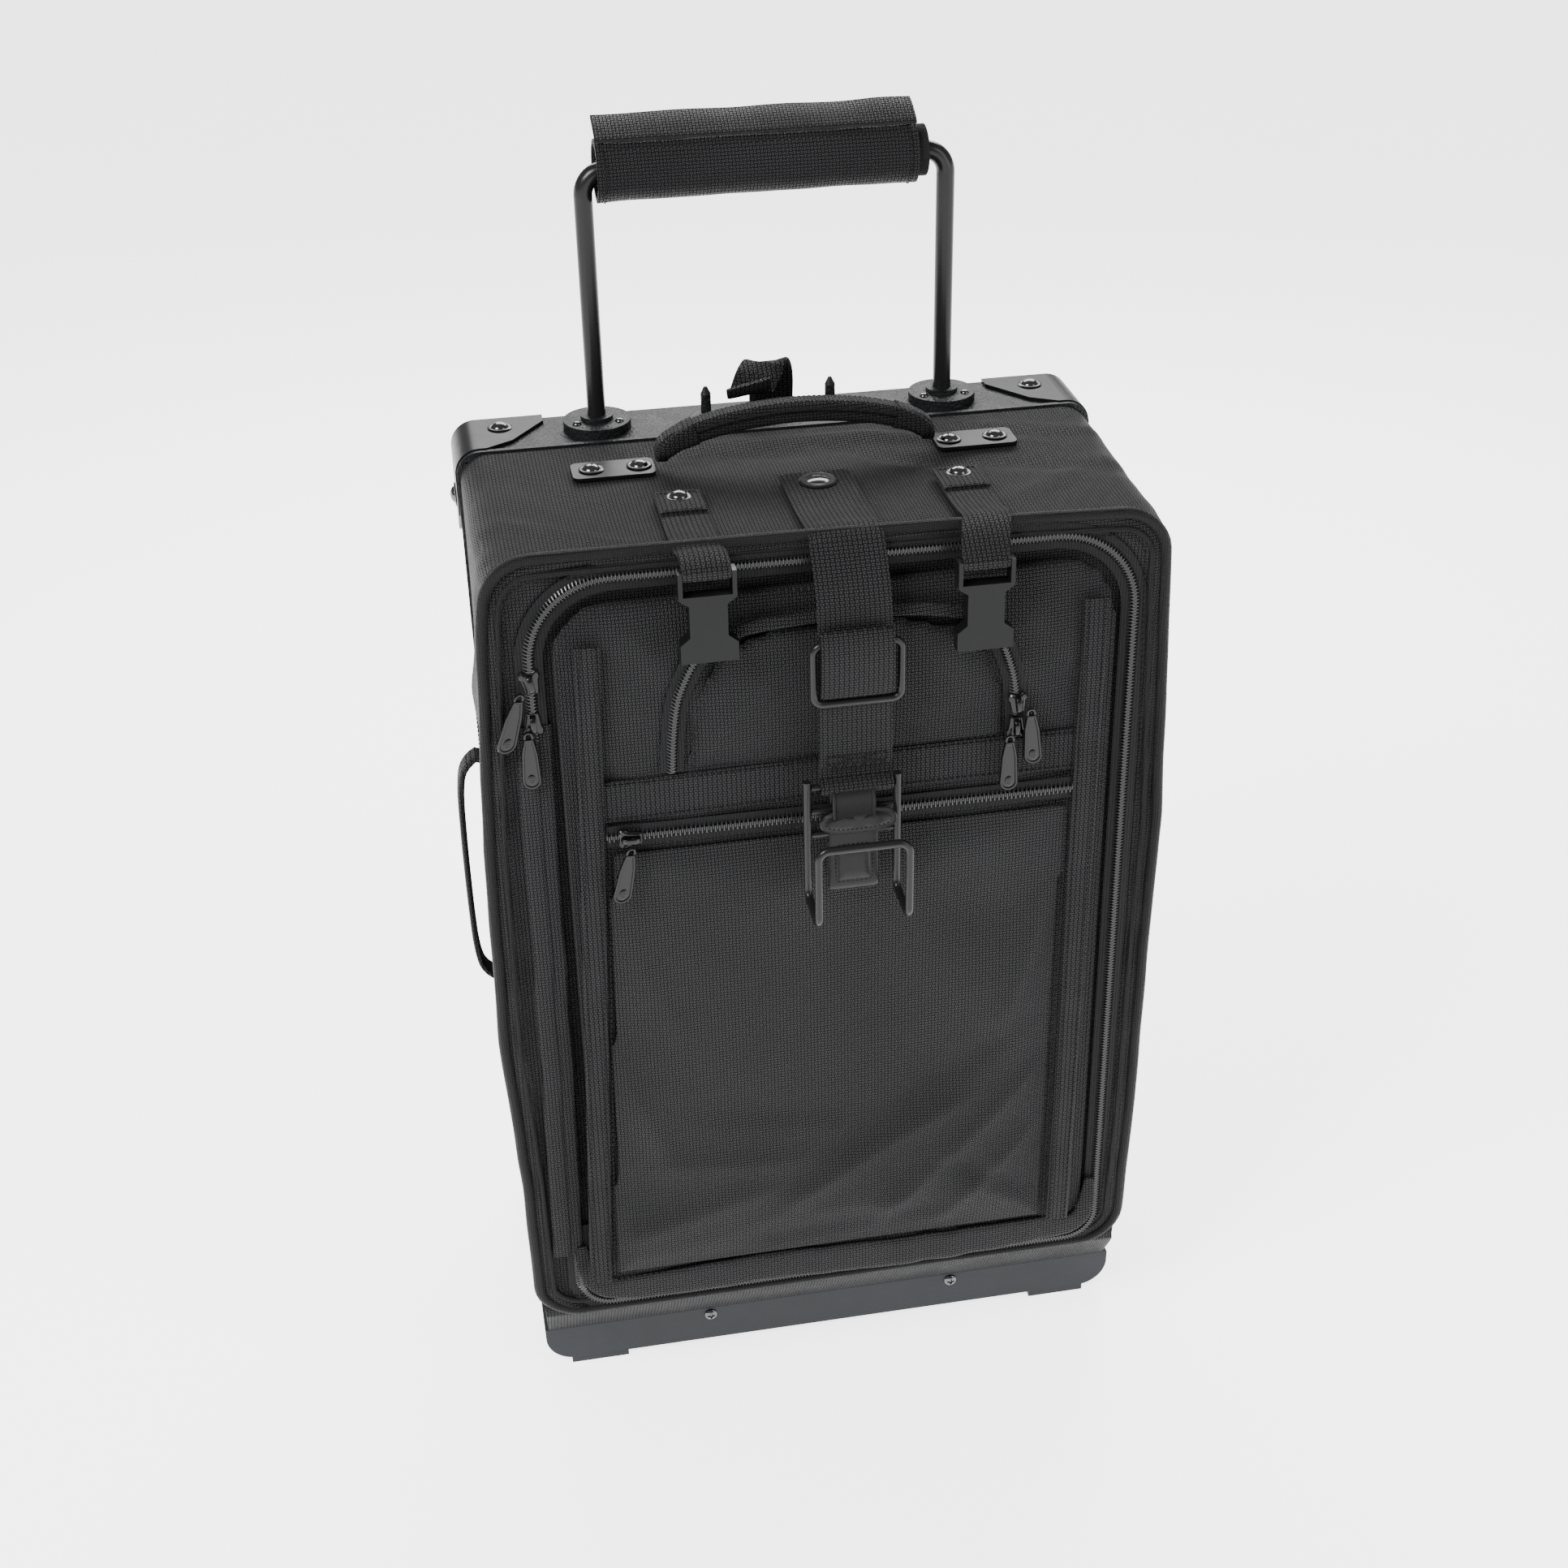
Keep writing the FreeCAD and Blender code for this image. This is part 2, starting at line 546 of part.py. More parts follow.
def pockets():
    """The two pockets, their zips, the webbing band and the bindings on the front panel."""
    for name in ("large_pocket", "small_pocket"):
        register(sewn(name, "pocket_face"), name)
    chains = [sewn(name, "small_chain_face") for name in ("small_chain_left", "small_chain_right")]
    chains.append(sewn("large_chain", "chain_face"))
    register(group("pocket_zip_chains", chains), "pocket_zip_chains")
    register(slab("webbing_band", "XZ", rectangle("band_left", "band_right", "band_low", "band_high"),
                  "band_face", "panel_face - gap"), "webbing_band")
    bindings = [sewn(name, "binding_face") for name in ("binding_left", "binding_right")]
    register(group("pocket_bindings", bindings), "pocket_bindings")


def skid_plate():
    """The moulded tray under the case with rounded ends, its two front screws and two feet."""
    body = slab("skid_plate", "XZ", rectangle("-frame_half", "frame_half", "skid_low", "skid_high"),
                "skid_front", "well_front - gap")
    middle = number("skid_low + 10")
    round_edges(body, "y", "skid_corner", lambda centre: centre.z < middle)
    remove(body, "XY", rectangle("-frame_half + 20", "frame_half - 20", "skid_front + skid_wall",
                                 "well_front + 1"), "skid_low + skid_wall", "skid_high + 1")
    register(body, "skid_plate")
    facing = Rotation(AXES["x"], 90)
    screws = [dome("skid_screw", facing, side, "skid_front", "skid_screw_height", "screw_radius",
                   "screw_head") for side in ("-skid_screw_side", "skid_screw_side")]
    register(group("skid_screws", screws), "skid_screws")
    foot = box("foot", ("foot_inner", "foot_outer"), ("foot_front", "foot_back"), ("0", "skid_low"))
    register(group("front_feet", [foot, mirrored(foot)]), "front_feet")


def wheel_set(side):
    """One rear corner: housing, tyre, hub and its two bearings on an axle bolt."""
    flip = (lambda solid: mirrored(solid)) if side == "left" else (lambda solid: solid)
    housing = new_body("wheel_housing_" + side)
    wall = "housing_wall"
    add(housing, "YZ", rectangle("well_front", "frame_back", "frame_bottom", "well_top"),
        "well_side", "frame_half")
    remove(housing, "YZ", rectangle(f"well_front + {wall}", "frame_back + 1", "frame_bottom - 1",
                                    f"well_top - {wall}"), f"well_side + {wall}", f"frame_half - {wall}")
    remove(housing, "YZ", circle("wheel_back", "wheel_radius", "axle_radius"),
           "well_side - 1", "frame_half + 1")
    axle_line = ("wheel_back", "wheel_radius")
    tyre = tube("tyre", "x", "wheel_side - tyre_half", *axle_line, "wheel_radius", "tyre_inner",
                "2*tyre_half")
    rounded = doc.addObject("Part::Fillet", "rounded_tyre")
    rounded.Base = tyre
    doc.recompute()
    tread = number("wheel_radius")
    rims = [index for index, edge in enumerate(tyre.Shape.Edges, 1)
            if edge.Curve.TypeId == "Part::GeomCircle" and abs(edge.Curve.Radius - tread) < 0.01]
    shoulder = number("tyre_shoulder")
    rounded.Edges = [(index, shoulder, shoulder) for index in rims]
    register(flip(rounded), "tyre_" + side)
    start = "wheel_side - hub_half"
    hub_disc = tube("hub", "x", start, *axle_line, "tyre_inner", "bearing_bore + 2", "2*hub_half")
    seats = [cylinder("seat", "x", place_x, *axle_line, "bearing_radius", "bearing_width")
             for place_x in (start, "wheel_side + hub_half - bearing_width")]
    register(flip(cut("hub_with_seats", hub_disc, fuse("seats", seats))), "hub_" + side)
    bearings = [tube("bearing", "x", place_x, *axle_line, "bearing_radius", "bearing_bore", "bearing_width")
                for place_x in (start, "wheel_side + hub_half - bearing_width")]
    register(flip(group("bearing_pair", bearings)), "bearings_" + side)
    bolt = cylinder("axle", "x", "well_side", *axle_line, "axle_radius", "frame_half - well_side")
    head = cylinder("axle_head", "x", "frame_half", *axle_line, "axle_head", "axle_head_height")
    return flip(housing), flip(fuse("axle_bolt", [bolt, head]))


def wheels():
    """Both wheel sets; the housings and the bolts are mirrored pairs."""
    pairs = [wheel_set(side) for side in ("left", "right")]
    register(group("wheel_housings", [pair[0] for pair in pairs]), "wheel_housings")
    register(group("axle_bolts", [pair[1] for pair in pairs]), "axle_bolts")


def pull_handle():
    """The telescoping U bar with its foam, wrap and flap, and the parts that guide it."""
    bend_points = [("-rod_side", "rod_back", "rod_end"), ("-rod_side", "rod_back", "grip_height"),
                   ("rod_side", "rod_back", "grip_height"), ("rod_side", "rod_back", "rod_end")]
    register(bent_wire("handle_bail", bend_points, "rod_bend", "rod_radius"), "handle_bail")
    bar = ("rod_back", "grip_height")
    register(tube("grip_foam", "x", "foam_left", *bar, "foam_radius", "rod_radius",
                  "foam_right - foam_left"), "grip_foam")
    register(tube("grip_wrap", "x", "wrap_left", *bar, "wrap_radius", "foam_radius + 0.1",
                  "wrap_right - wrap_left"), "grip_wrap")
    flap = [("rod_back - 8", "grip_height + 16.6"), ("rod_back + 10", "grip_height + 25"),
            ("rod_back + 9.2", "grip_height + 26.8"), ("rod_back - 8.8", "grip_height + 18.4")]
    register(slab("wrap_flap", "YZ", outline(flap), "wrap_left", "wrap_right"), "wrap_flap")
    bushes, guides, bezels, screws, pins = [], [], [], [], []
    for side in ("-rod_side", "rod_side"):
        bushes.append(cylinder("bush", "z", side, "rod_back", "rod_end - bush_length", "bush_radius",
                               "bush_length"))
        guides.append(tube("guide", "z", side, "rod_back", "tube_low", "tube_radius", "tube_bore",
                           "frame_top - frame_wall - lip_height - gap - tube_low"))
        flange = tube("flange", "z", side, "rod_back", "frame_top - lip_height", "bezel_radius",
                      "bezel_bore", "bezel_step")
        collar = tube("collar", "z", side, "rod_back", "frame_top - lip_height", "bezel_collar",
                      "bezel_bore", "bezel_height")
        bezels.append(fuse("bezel", [flange, collar]))
        for turn in (90, 210, 330):
            step_x = number("bezel_screw_ring") * math.cos(math.radians(turn))
            step_y = number("bezel_screw_ring") * math.sin(math.radians(turn))
            screws.append(cylinder("bezel_screw", "z", f"{side} + {step_x:.3f}",
                                   f"rod_back + {step_y:.3f}", "frame_top - lip_height + bezel_step",
                                   "bezel_screw", "bezel_screw_head"))
    for side in ("-pin_side", "pin_side"):
        base = "frame_top - lip_height"
        shank = cylinder("pin_shank", "z", side, "pin_back", base, "pin_radius", "pin_length")
        tip = doc.addObject("Part::Cone", "pin_tip")
        tip.setExpression("Radius1", "dims.pin_radius")
        tip.setExpression("Radius2", "dims.pin_point")
        tip.setExpression("Height", "dims.pin_tip")
        pins.append(fuse("pin", [shank, place(tip, "z", side, "pin_back", f"{base} + pin_length")]))
    register(group("rod_end_bushes", bushes), "rod_end_bushes")
    register(group("handle_guide_tubes", guides), "handle_guide_tubes")
    register(group("handle_bezels", bezels), "handle_bezels")
    register(group("bezel_screws", screws), "bezel_screws")
    register(group("handle_rest_pins", pins), "handle_rest_pins")


def rear_strap():
    """A webbing end that rises behind the frame and curls forward."""
    near = "frame_back + gap"
    profile = [(near, "rear_low"), (f"{near} + web", "rear_low"), (f"{near} + 3.8", "rear_knee"),
               (f"{near} + 1.3", "rear_high"), (f"{near} - 0.5", "rear_high - 1"),
               (f"{near} + 1.8", "rear_knee")]
    register(slab("rear_strap", "YZ", outline(profile), "rear_left", "rear_right"), "rear_strap")


def carry_handle():
    """The arched top handle and the two plates that hold its ends."""
    plates = []
    for name, sign, near, far in (("left", "-", "outer", "inner"), ("right", "+", "inner", "outer")):
        body = slab("plate_" + name, "XY", rectangle(f"carry_middle {sign} carry_plate_{near}",
                                                     f"carry_middle {sign} carry_plate_{far}",
                                                     "carry_back - carry_plate_half",
                                                     "carry_back + carry_plate_half"),
                    "shell_top + 0.1", "shell_top + plate_sheet + 0.1")
        round_edges(body, "z", "plate_corner")
        plates.append(body)
    register(group("carry_handle_plates", plates), "carry_handle_plates")
    arch = [("carry_reach", "carry_pivot"), ("carry_knee", "carry_pivot + 10"),
            ("carry_shoulder", "carry_top - 2.5")]
    points = [(f"carry_middle - {reach}", "carry_back", height) for reach, height in arch]
    points.append(("carry_middle", "carry_back", "carry_top"))
    points += [(f"carry_middle + {reach}", "carry_back", height) for reach, height in reversed(arch)]
    register(bent_wire("carry_handle", points, "carry_bend", "carry_radius"), "carry_handle")


def side_handle():
    """The bowed handle on the left side and its two sewn end tabs."""
    bow = [("side_pivot - 2.5", "side_high"), ("side_outer", "side_high - 16"),
           ("side_outer", "side_low + 16"), ("side_pivot - 2.5", "side_low"),
           ("side_pivot + 2.5", "side_low"), ("side_outer + 6", "side_low + 18"),
           ("side_outer + 6", "side_high - 18"), ("side_pivot + 2.5", "side_high")]
    register(slab("side_handle", "XZ", outline(bow), "side_back - side_half", "side_back + side_half"),
             "side_handle")
    tabs = [box("side_tab", ("-shell_half - tab_sheet - 0.1", "-shell_half - 0.1"),
                ("side_back - tab_half", "side_back + tab_half"), (low, high))
            for low, high in (("side_high - 2", "side_high + tab_length - 2"),
                              ("side_low - tab_length + 2", "side_low + 2"))]
    register(group("side_handle_tabs", tabs), "side_handle_tabs")


def add_loop(body, line, height, radius, bore, low, high):
    """A sewn webbing loop round a pin, at the end of a strap."""
    add(body, "YZ", circle(line, height, radius), low, high)
    remove(body, "YZ", circle(line, height, bore), f"{low} - 1", f"{high} + 1")


def hook_strap():
    """The centre strap: its riveted end, its hanging part and the adjuster ring."""
    anchor = box("strap_anchor", ("strap_left", "strap_right"), ("edge_back", "strap_rear"),
                 ("shell_top + 0.1", "shell_top + web + 0.1"))
    register(anchor, "centre_strap_anchor")
    body = new_body("hook_strap")
    face = "strap_face"
    run = [("flip_back + 0.6", "flip_height - 0.9"), (f"{face} + web", "strap_knee - 0.4"),
           (f"{face} + web", "top_pin"), (face, "top_pin"), (face, "strap_knee + 0.4"),
           ("flip_back - 0.8", "flip_height + 1")]
    add(body, "YZ", outline(run), "strap_left", "strap_right")
    add_loop(body, "pin_line", "top_pin", "loop_radius", "loop_bore", "strap_left", "strap_right")
    register(body, "hook_strap")
    line = "ring_line"
    corners = [("ring_left", line, "ring_low"), ("ring_left", line, "ring_high"),
               ("ring_right", line, "ring_high"), ("ring_right", line, "ring_low")]
    register(bent_wire("adjuster_ring", corners, "ring_bend", "ring_wire", True), "adjuster_ring")


def hook():
    """The wire hook with its cross pins, the leather pad and the leather keeper."""
    line = "pin_line"
    wire = [("hook_left", line, "top_pin + 4"), ("hook_left", line, "hook_floor"),
            ("hook_left", "hook_front", "hook_floor"), ("hook_left", "hook_front", "hook_top"),
            ("hook_right", "hook_front", "hook_top"), ("hook_right", "hook_front", "hook_floor"),
            ("hook_right", line, "hook_floor"), ("hook_right", line, "top_pin + 4")]
    register(bent_wire("wire_hook", wire, "hook_bend", "hook_wire"), "wire_hook")
    pins = [cylinder("cross_pin", "x", "hook_left + hook_wire", line, height, "cross_pin_radius",
                     "hook_right - hook_left - 2*hook_wire")
            for height in ("top_pin", "middle_pin", "low_pin")]
    register(group("cross_pins", pins), "cross_pins")
    middle = "hook_middle"
    front = f"{line} - pad_stand_off"
    pad = [(f"{middle} - pad_half", "pad_low + 9"), (f"{middle} - pad_half + 5", "pad_low + 2"),
           (f"{middle} - 8", "pad_low"), (f"{middle} + 8", "pad_low"),
           (f"{middle} + pad_half - 5", "pad_low + 2"), (f"{middle} + pad_half", "pad_low + 9"),
           (f"{middle} + pad_half - 4", "pad_high"), (f"{middle} - pad_half + 4", "pad_high")]
    register(slab("leather_pad", "XZ", outline(pad), f"{front} - pad_sheet", front), "leather_pad")
    keeper = new_body("leather_keeper")
    add(keeper, "YZ", rectangle(f"{line} - 1.9", f"{line} + 2.5", "keeper_low", "low_pin - 1"),
        "keeper_left", "keeper_right")
    add(keeper, "YZ", rectangle(f"{line} - 1.7", f"{line} + 3.2", "low_pin - 2", "low_pin + 3.4"),
        "keeper_left", "keeper_right")
    remove(keeper, "YZ", rectangle(f"{line} - 2.6", f"{line} + 1.9", "low_pin - 1.9", "low_pin + 2"),
           "keeper_left - 1", "keeper_right + 1")
    register(keeper, "leather_keeper")


def buckle_strap(side, middle, height):
    """A short strap that hangs over the case's front edge and loops round the buckle's bar."""
    body = new_body("buckle_strap_" + side)
    low, high = f"{middle} - buckle_web_half", f"{middle} + buckle_web_half"
    run = [("flip_back + 0.6", "flip_height - 0.9"), ("buckle_line + 1.4", f"{height} - 0.9"),
           ("buckle_line - 0.4", f"{height} + 2.4"), ("flip_back - 0.8", "flip_height + 1")]
    add(body, "YZ", outline(run), low, high)
    add_loop(body, "buckle_line", height, "buckle_loop", "buckle_bore", low, high)
    register(body, body.Name)


def buckle(side, middle, height):
    """The socket half of a side-release buckle, with a waist and a bar for the strap."""
    body = new_body("buckle_" + side)
    corners = [("buckle_half", "-buckle_length"), ("buckle_half", "-37"), ("buckle_waist", "-33"),
               ("buckle_waist", "-16"), ("buckle_half", "-12.5"), ("buckle_half", "1.6"),
               ("buckle_eye", "1.6"), ("buckle_eye", "-11")]
    points = [(f"{middle} + {across}", f"{height} + {up}") for across, up in corners]
    points += [(f"{middle} - {across}", f"{height} + {up}") for across, up in reversed(corners)]
    points = [(across, up.replace("+ -", "- ")) for across, up in points]
    add(body, "XZ", outline(points), "buckle_line - buckle_depth", "buckle_line + buckle_depth")
    add(body, "YZ", circle("buckle_line", height, "buckle_bar"),
        f"{middle} - buckle_half", f"{middle} + buckle_half")
    remove(body, "XY", rectangle(f"{middle} - socket_half", f"{middle} + socket_half",
                                 "buckle_line - socket_depth", "buckle_line + socket_depth"),
           f"{height} - buckle_length - 1", f"{height} - socket_end")
    register(body, body.Name)


def buckle_straps():
    """Two short webbing straps, each with its riveted end and its buckle."""
    anchors = []
    for side, at in BUCKLES.items():
        ends = (f"{at['anchor']} - buckle_web_half", f"{at['anchor']} + buckle_web_half")
        anchors.append(box("anchor_" + side, ends, ("edge_back", "buckle_rear"),
                           ("shell_top + 0.1", "shell_top + web + 0.1")))
        buckle_strap(side, at["buckle"], at["height"])
        buckle(side, at["buckle"], at["height"])
    register(group("buckle_strap_anchors", anchors), "buckle_strap_anchors")


def zip_pulls():
    """Five long pulls with rounded ends, each with a slot, hanging from their sliders."""
    for name, at in PULLS.items():
        body = new_body(name)
        foot = f"{at['x']} + {at['lean']}".replace("+ -", "- ")
        low = f"{at['top']} - pull_length"
        points = [(f"{foot} - pull_half + 2", low), (f"{foot} + pull_half - 2", low),
                  (f"{foot} + pull_half", f"{low} + 4"), (f"{at['x']} + pull_neck", at["top"]),
                  (f"{at['x']} - pull_neck", at["top"]), (f"{foot} - pull_half", f"{low} + 4")]
        add(body, "XZ", outline(points), f"{at['back']} - pull_sheet", at["back"])
        remove(body, "XZ", rectangle(f"{foot} - pull_slot", f"{foot} + pull_slot",
                                     f"{low} + 3.4", f"{low} + 8"),
               f"{at['back']} - pull_sheet - 1", f"{at['back']} + 1")
        register(body, name)


def zip_sliders():
    """The slider on the large pocket's zip, and the pairs on the main and small pocket zips."""
    for name, places in SLIDERS.items():
        bodies = [box(name + "_body", (left, right), (f"{face} - 4.5", f"{back} - gap"), (low, high))
                  for left, right, low, high, face, back in places]
        register(group(name, bodies), name)


def build():
    for make in (case_shell, rear_frame, frame_lip, back_panel, front_piping, corner_guards, rivets,
                 front_panel, main_zip_chain, pockets, skid_plate, wheels, pull_handle, rear_strap,
                 carry_handle, side_handle, hook_strap, hook, buckle_straps, zip_pulls, zip_sliders):
        make()
    doc.recompute()


def check():
    """Stop on any failed object or broken shape."""
    for item in doc.Objects:
        if "Invalid" in item.State or "Error" in item.State:
            raise RuntimeError(f"{item.Label} failed: {item.State}")
    for subpart in SUBPARTS:
        if subpart.Shape.isNull() or not subpart.Shape.isValid() or not subpart.Shape.Solids:
            raise RuntimeError(f"{subpart.Label} has no valid solid")


def export():
    os.makedirs("parts", exist_ok=True)
    whole = FreeCAD.BoundBox()
    for subpart in SUBPARTS:
        subpart.Shape.exportStep(f"parts/{subpart.Label}.step")
        whole.add(subpart.Shape.BoundBox)
    print(len(SUBPARTS), "sub-parts; the object's middle is at", round(whole.Center.x, 3),
          round(whole.Center.y, 3), "and its lowest point at", round(whole.ZMin, 3))
    print("size", round(whole.XLength, 2), round(whole.YLength, 2), round(whole.ZLength, 2))


build()
check()
export()
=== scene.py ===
import json
import math

import bmesh
import bpy
import numpy as np
from mathutils import Matrix, Vector, noise


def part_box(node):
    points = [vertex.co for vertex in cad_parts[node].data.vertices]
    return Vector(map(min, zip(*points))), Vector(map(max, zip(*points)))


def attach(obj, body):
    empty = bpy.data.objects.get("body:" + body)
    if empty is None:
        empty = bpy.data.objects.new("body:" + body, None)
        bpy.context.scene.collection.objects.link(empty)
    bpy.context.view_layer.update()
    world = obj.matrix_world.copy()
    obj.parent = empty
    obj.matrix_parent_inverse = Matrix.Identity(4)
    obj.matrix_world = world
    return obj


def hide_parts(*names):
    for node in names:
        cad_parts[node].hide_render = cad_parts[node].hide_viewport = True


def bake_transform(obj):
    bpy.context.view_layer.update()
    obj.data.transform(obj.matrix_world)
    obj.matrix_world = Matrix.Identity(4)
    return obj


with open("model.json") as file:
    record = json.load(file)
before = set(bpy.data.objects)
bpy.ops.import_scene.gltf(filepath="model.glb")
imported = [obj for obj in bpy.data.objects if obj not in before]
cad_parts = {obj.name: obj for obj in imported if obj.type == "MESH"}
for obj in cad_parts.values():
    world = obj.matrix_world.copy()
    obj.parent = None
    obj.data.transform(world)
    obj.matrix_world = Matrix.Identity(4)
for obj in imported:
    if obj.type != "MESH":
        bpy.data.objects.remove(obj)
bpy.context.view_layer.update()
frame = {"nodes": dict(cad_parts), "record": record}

MM = 0.001

# Every place below is in millimetres: x from the case's middle plane, y from the line that puts the
# shell's front face at SHELL_FRONT, z from the floor.
SHELL_LOW, SHELL_HIGH = (Vector(corner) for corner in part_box("case_shell"))
SHELL_FRONT = -85.0
MIDDLE = (SHELL_LOW.x + SHELL_HIGH.x) / 2
ZERO_Y = SHELL_LOW.y - SHELL_FRONT * MM
SHELL_BACK = 62.8
SHELL_TOP = SHELL_HIGH.z / MM
SHELL_FLOOR = SHELL_LOW.z / MM
KNEE = 62.0
TOE = -63.0
WELL_TOP = 78.0
WELL_FRONT = 49.8
WEB = 2.0
STRAP_X = 5.5
CARRY_X = 1.5
CARRY_Y = 22.0
RODS_X = 98.0
RODS_Y = 88.0
WHEEL_CENTRE = (158.8, 92, 35)
TACK = {"length": 1.6, "gap": 0.8, "radius": 0.3}


def at(x, y, z):
    """A place in millimetres as a point of the frame."""
    return Vector((MIDDLE + x * MM, ZERO_Y + y * MM, z * MM))


def span(node):
    """A node's lowest and highest corners in millimetres."""
    low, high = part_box(node)
    return [((c[0] - MIDDLE) / MM, (c[1] - ZERO_Y) / MM, c[2] / MM) for c in (low, high)]


# ---------------------------------------------------------------- materials

class Graph:
    """A material and short ways to add nodes to it."""

    def __init__(self, name, colour, roughness, metallic=0.0, specular=0.5):
        self.material = bpy.data.materials.new(name)
        self.material.use_nodes = True
        self.tree = self.material.node_tree
        self.shader = self.tree.nodes["Principled BSDF"]
        self.shader.inputs["Base Color"].default_value = (*colour, 1)
        self.shader.inputs["Roughness"].default_value = roughness
        self.shader.inputs["Metallic"].default_value = metallic
        self.shader.inputs["Specular IOR Level"].default_value = specular
        self.colour = colour
        self.roughness = roughness
        self.height = None
        self.place = self.node("ShaderNodeTexCoord").outputs["Object"]

    def node(self, kind, **settings):
        made = self.tree.nodes.new(kind)
        for name, value in settings.items():
            setattr(made, name, value)
        return made

    def link(self, source, target):
        if isinstance(source, (int, float)):
            target.default_value = source
        else:
            self.tree.links.new(source, target)

    def math(self, operation, first, second=0.0, third=0.0):
        made = self.node("ShaderNodeMath", operation=operation)
        for value, socket in zip((first, second, third), made.inputs):
            self.link(value, socket)
        return made.outputs[0]

    def mix(self, share, first, second):
        """first where share is 0, second where it is 1."""
        step = self.math("SUBTRACT", second, first)
        return self.math("MULTIPLY_ADD", step, share, first)

    def noise(self, scale, detail=3.0, roughness=0.55, stretch=None):
        made = self.node("ShaderNodeTexNoise")
        place = self.place
        if stretch:
            mapping = self.node("ShaderNodeMapping")
            mapping.inputs["Scale"].default_value = stretch
            self.tree.links.new(self.place, mapping.inputs["Vector"])
            place = mapping.outputs[0]
        self.tree.links.new(place, made.inputs["Vector"])
        made.inputs["Scale"].default_value = scale
        made.inputs["Detail"].default_value = detail
        made.inputs["Roughness"].default_value = roughness
        return made.outputs["Fac"]

    def cells(self, scale, feature="F1"):
        made = self.node("ShaderNodeTexVoronoi", feature=feature)
        self.tree.links.new(self.place, made.inputs["Vector"])
        made.inputs["Scale"].default_value = scale
        return made.outputs["Distance"]

    def flat_place(self):
        """Two coordinates that lie in the surface, picked by which way it faces."""
        facing = self.node("ShaderNodeSeparateXYZ")
        self.tree.links.new(self.node("ShaderNodeTexCoord").outputs["Normal"], facing.inputs[0])
        place = self.node("ShaderNodeSeparateXYZ")
        self.tree.links.new(self.place, place.inputs[0])
        x, y, z = place.outputs
        sideways = self.math("GREATER_THAN", self.math("ABSOLUTE", facing.outputs[0]), 0.72)
        upwards = self.math("GREATER_THAN", self.math("ABSOLUTE", facing.outputs[2]), 0.72)
        return self.mix(sideways, x, y), self.mix(upwards, z, y)

    def colours(self, share, low, high):
        """A colour between two shades of the base colour."""
        ramp = self.node("ShaderNodeMix", data_type="RGBA")
        self.link(share, ramp.inputs["Factor"])
        ramp.inputs["A"].default_value = (*[c * low for c in self.colour], 1)
        ramp.inputs["B"].default_value = (*[min(1, c * high) for c in self.colour], 1)
        self.tree.links.new(ramp.outputs["Result"], self.shader.inputs["Base Color"])

    def rough(self, share, swing):
        """Roughness that varies about the base value."""
        value = self.math("MULTIPLY_ADD", share, swing, self.roughness - swing / 2)
        self.tree.links.new(value, self.shader.inputs["Roughness"])

    def bump(self, height, depth, strength=1.0):
        """Bump of a depth in metres; bumps added later lie under it."""
        made = self.node("ShaderNodeBump")
        made.inputs["Strength"].default_value = strength
        made.inputs["Distance"].default_value = depth
        self.link(height, made.inputs["Height"])
        if self.height:
            self.tree.links.new(self.height, made.inputs["Normal"])
        self.height = made.outputs[0]
        self.tree.links.new(self.height, self.shader.inputs["Normal"])


def threads(graph, cell_u, cell_v, strands=2.0):
    """Height of a basket weave: groups of threads that pass over and under in turn."""
    u, v = graph.flat_place()
    wave = {}
    for name, place, cell in (("u", u, cell_u), ("v", v, cell_v)):
        turn = graph.math("MULTIPLY", place, math.pi / cell)
        wave[name] = graph.math("SINE", turn)
        wave["hump_" + name] = graph.math("ABSOLUTE", wave[name])
        finer = graph.math("SINE", graph.math("MULTIPLY", turn, strands))
        wave["strand_" + name] = graph.math("SQRT", graph.math("ABSOLUTE", finer))
    over = graph.math("GREATER_THAN", graph.math("MULTIPLY", wave["u"], wave["v"]), 0.0)
    warp = graph.math("MULTIPLY", wave["strand_u"], wave["hump_v"])
    weft = graph.math("MULTIPLY", wave["strand_v"], wave["hump_u"])
    return graph.mix(over, weft, warp)


def woven(name, colour, cell, depth, roughness, sheen, crown_highlight_gain=2.1):
    """Cloth with visible threads, painted dark in its gaps as shade and light on the thread crowns as a
    highlight, and slow changes of tone.
    """
    graph = Graph(name, colour, roughness, specular=0.10)
    height = threads(graph, *cell)
    tone = graph.noise(9.0, 4.0)
    fuzz = graph.noise(900.0, 2.0)
    # Painted light: the colour runs from near black in the gaps between threads (painted shade) to many
    # times the base colour on the thread crowns (painted highlight); the tone noise only varies it.
    crown = graph.math("POWER", height, 1.5)
    share = graph.math("MULTIPLY", crown, graph.math("MULTIPLY_ADD", tone, 1.0, 0.5))
    graph.colours(share, 0.05, crown_highlight_gain)
    graph.rough(graph.math("SUBTRACT", 1.0, height), 0.5)
    graph.shader.inputs["Sheen Weight"].default_value = sheen
    graph.shader.inputs["Sheen Roughness"].default_value = 0.45
    graph.shader.inputs["Sheen Tint"].default_value = (0.6, 0.6, 0.64, 1)
    graph.bump(fuzz, 0.00008, 0.5)
    graph.bump(height, depth, 0.9)
    return graph.material


def moulded(name, colour, roughness, grain_scale, grain_depth, specular=0.3, coat=0.0):
    """Moulded plastic or paint with a fine grain, faint flow marks and rubbed patches."""
    graph = Graph(name, colour, roughness, specular=specular)
    tone = graph.noise(26.0, 5.0)
    graph.colours(tone, 0.82, 1.3)
    graph.rough(graph.noise(70.0, 6.0, 0.7), 0.18)
    graph.bump(graph.cells(grain_scale), grain_depth, 0.6)
    graph.shader.inputs["Coat Weight"].default_value = coat
    graph.shader.inputs["Coat Roughness"].default_value = 0.2
    return graph.material


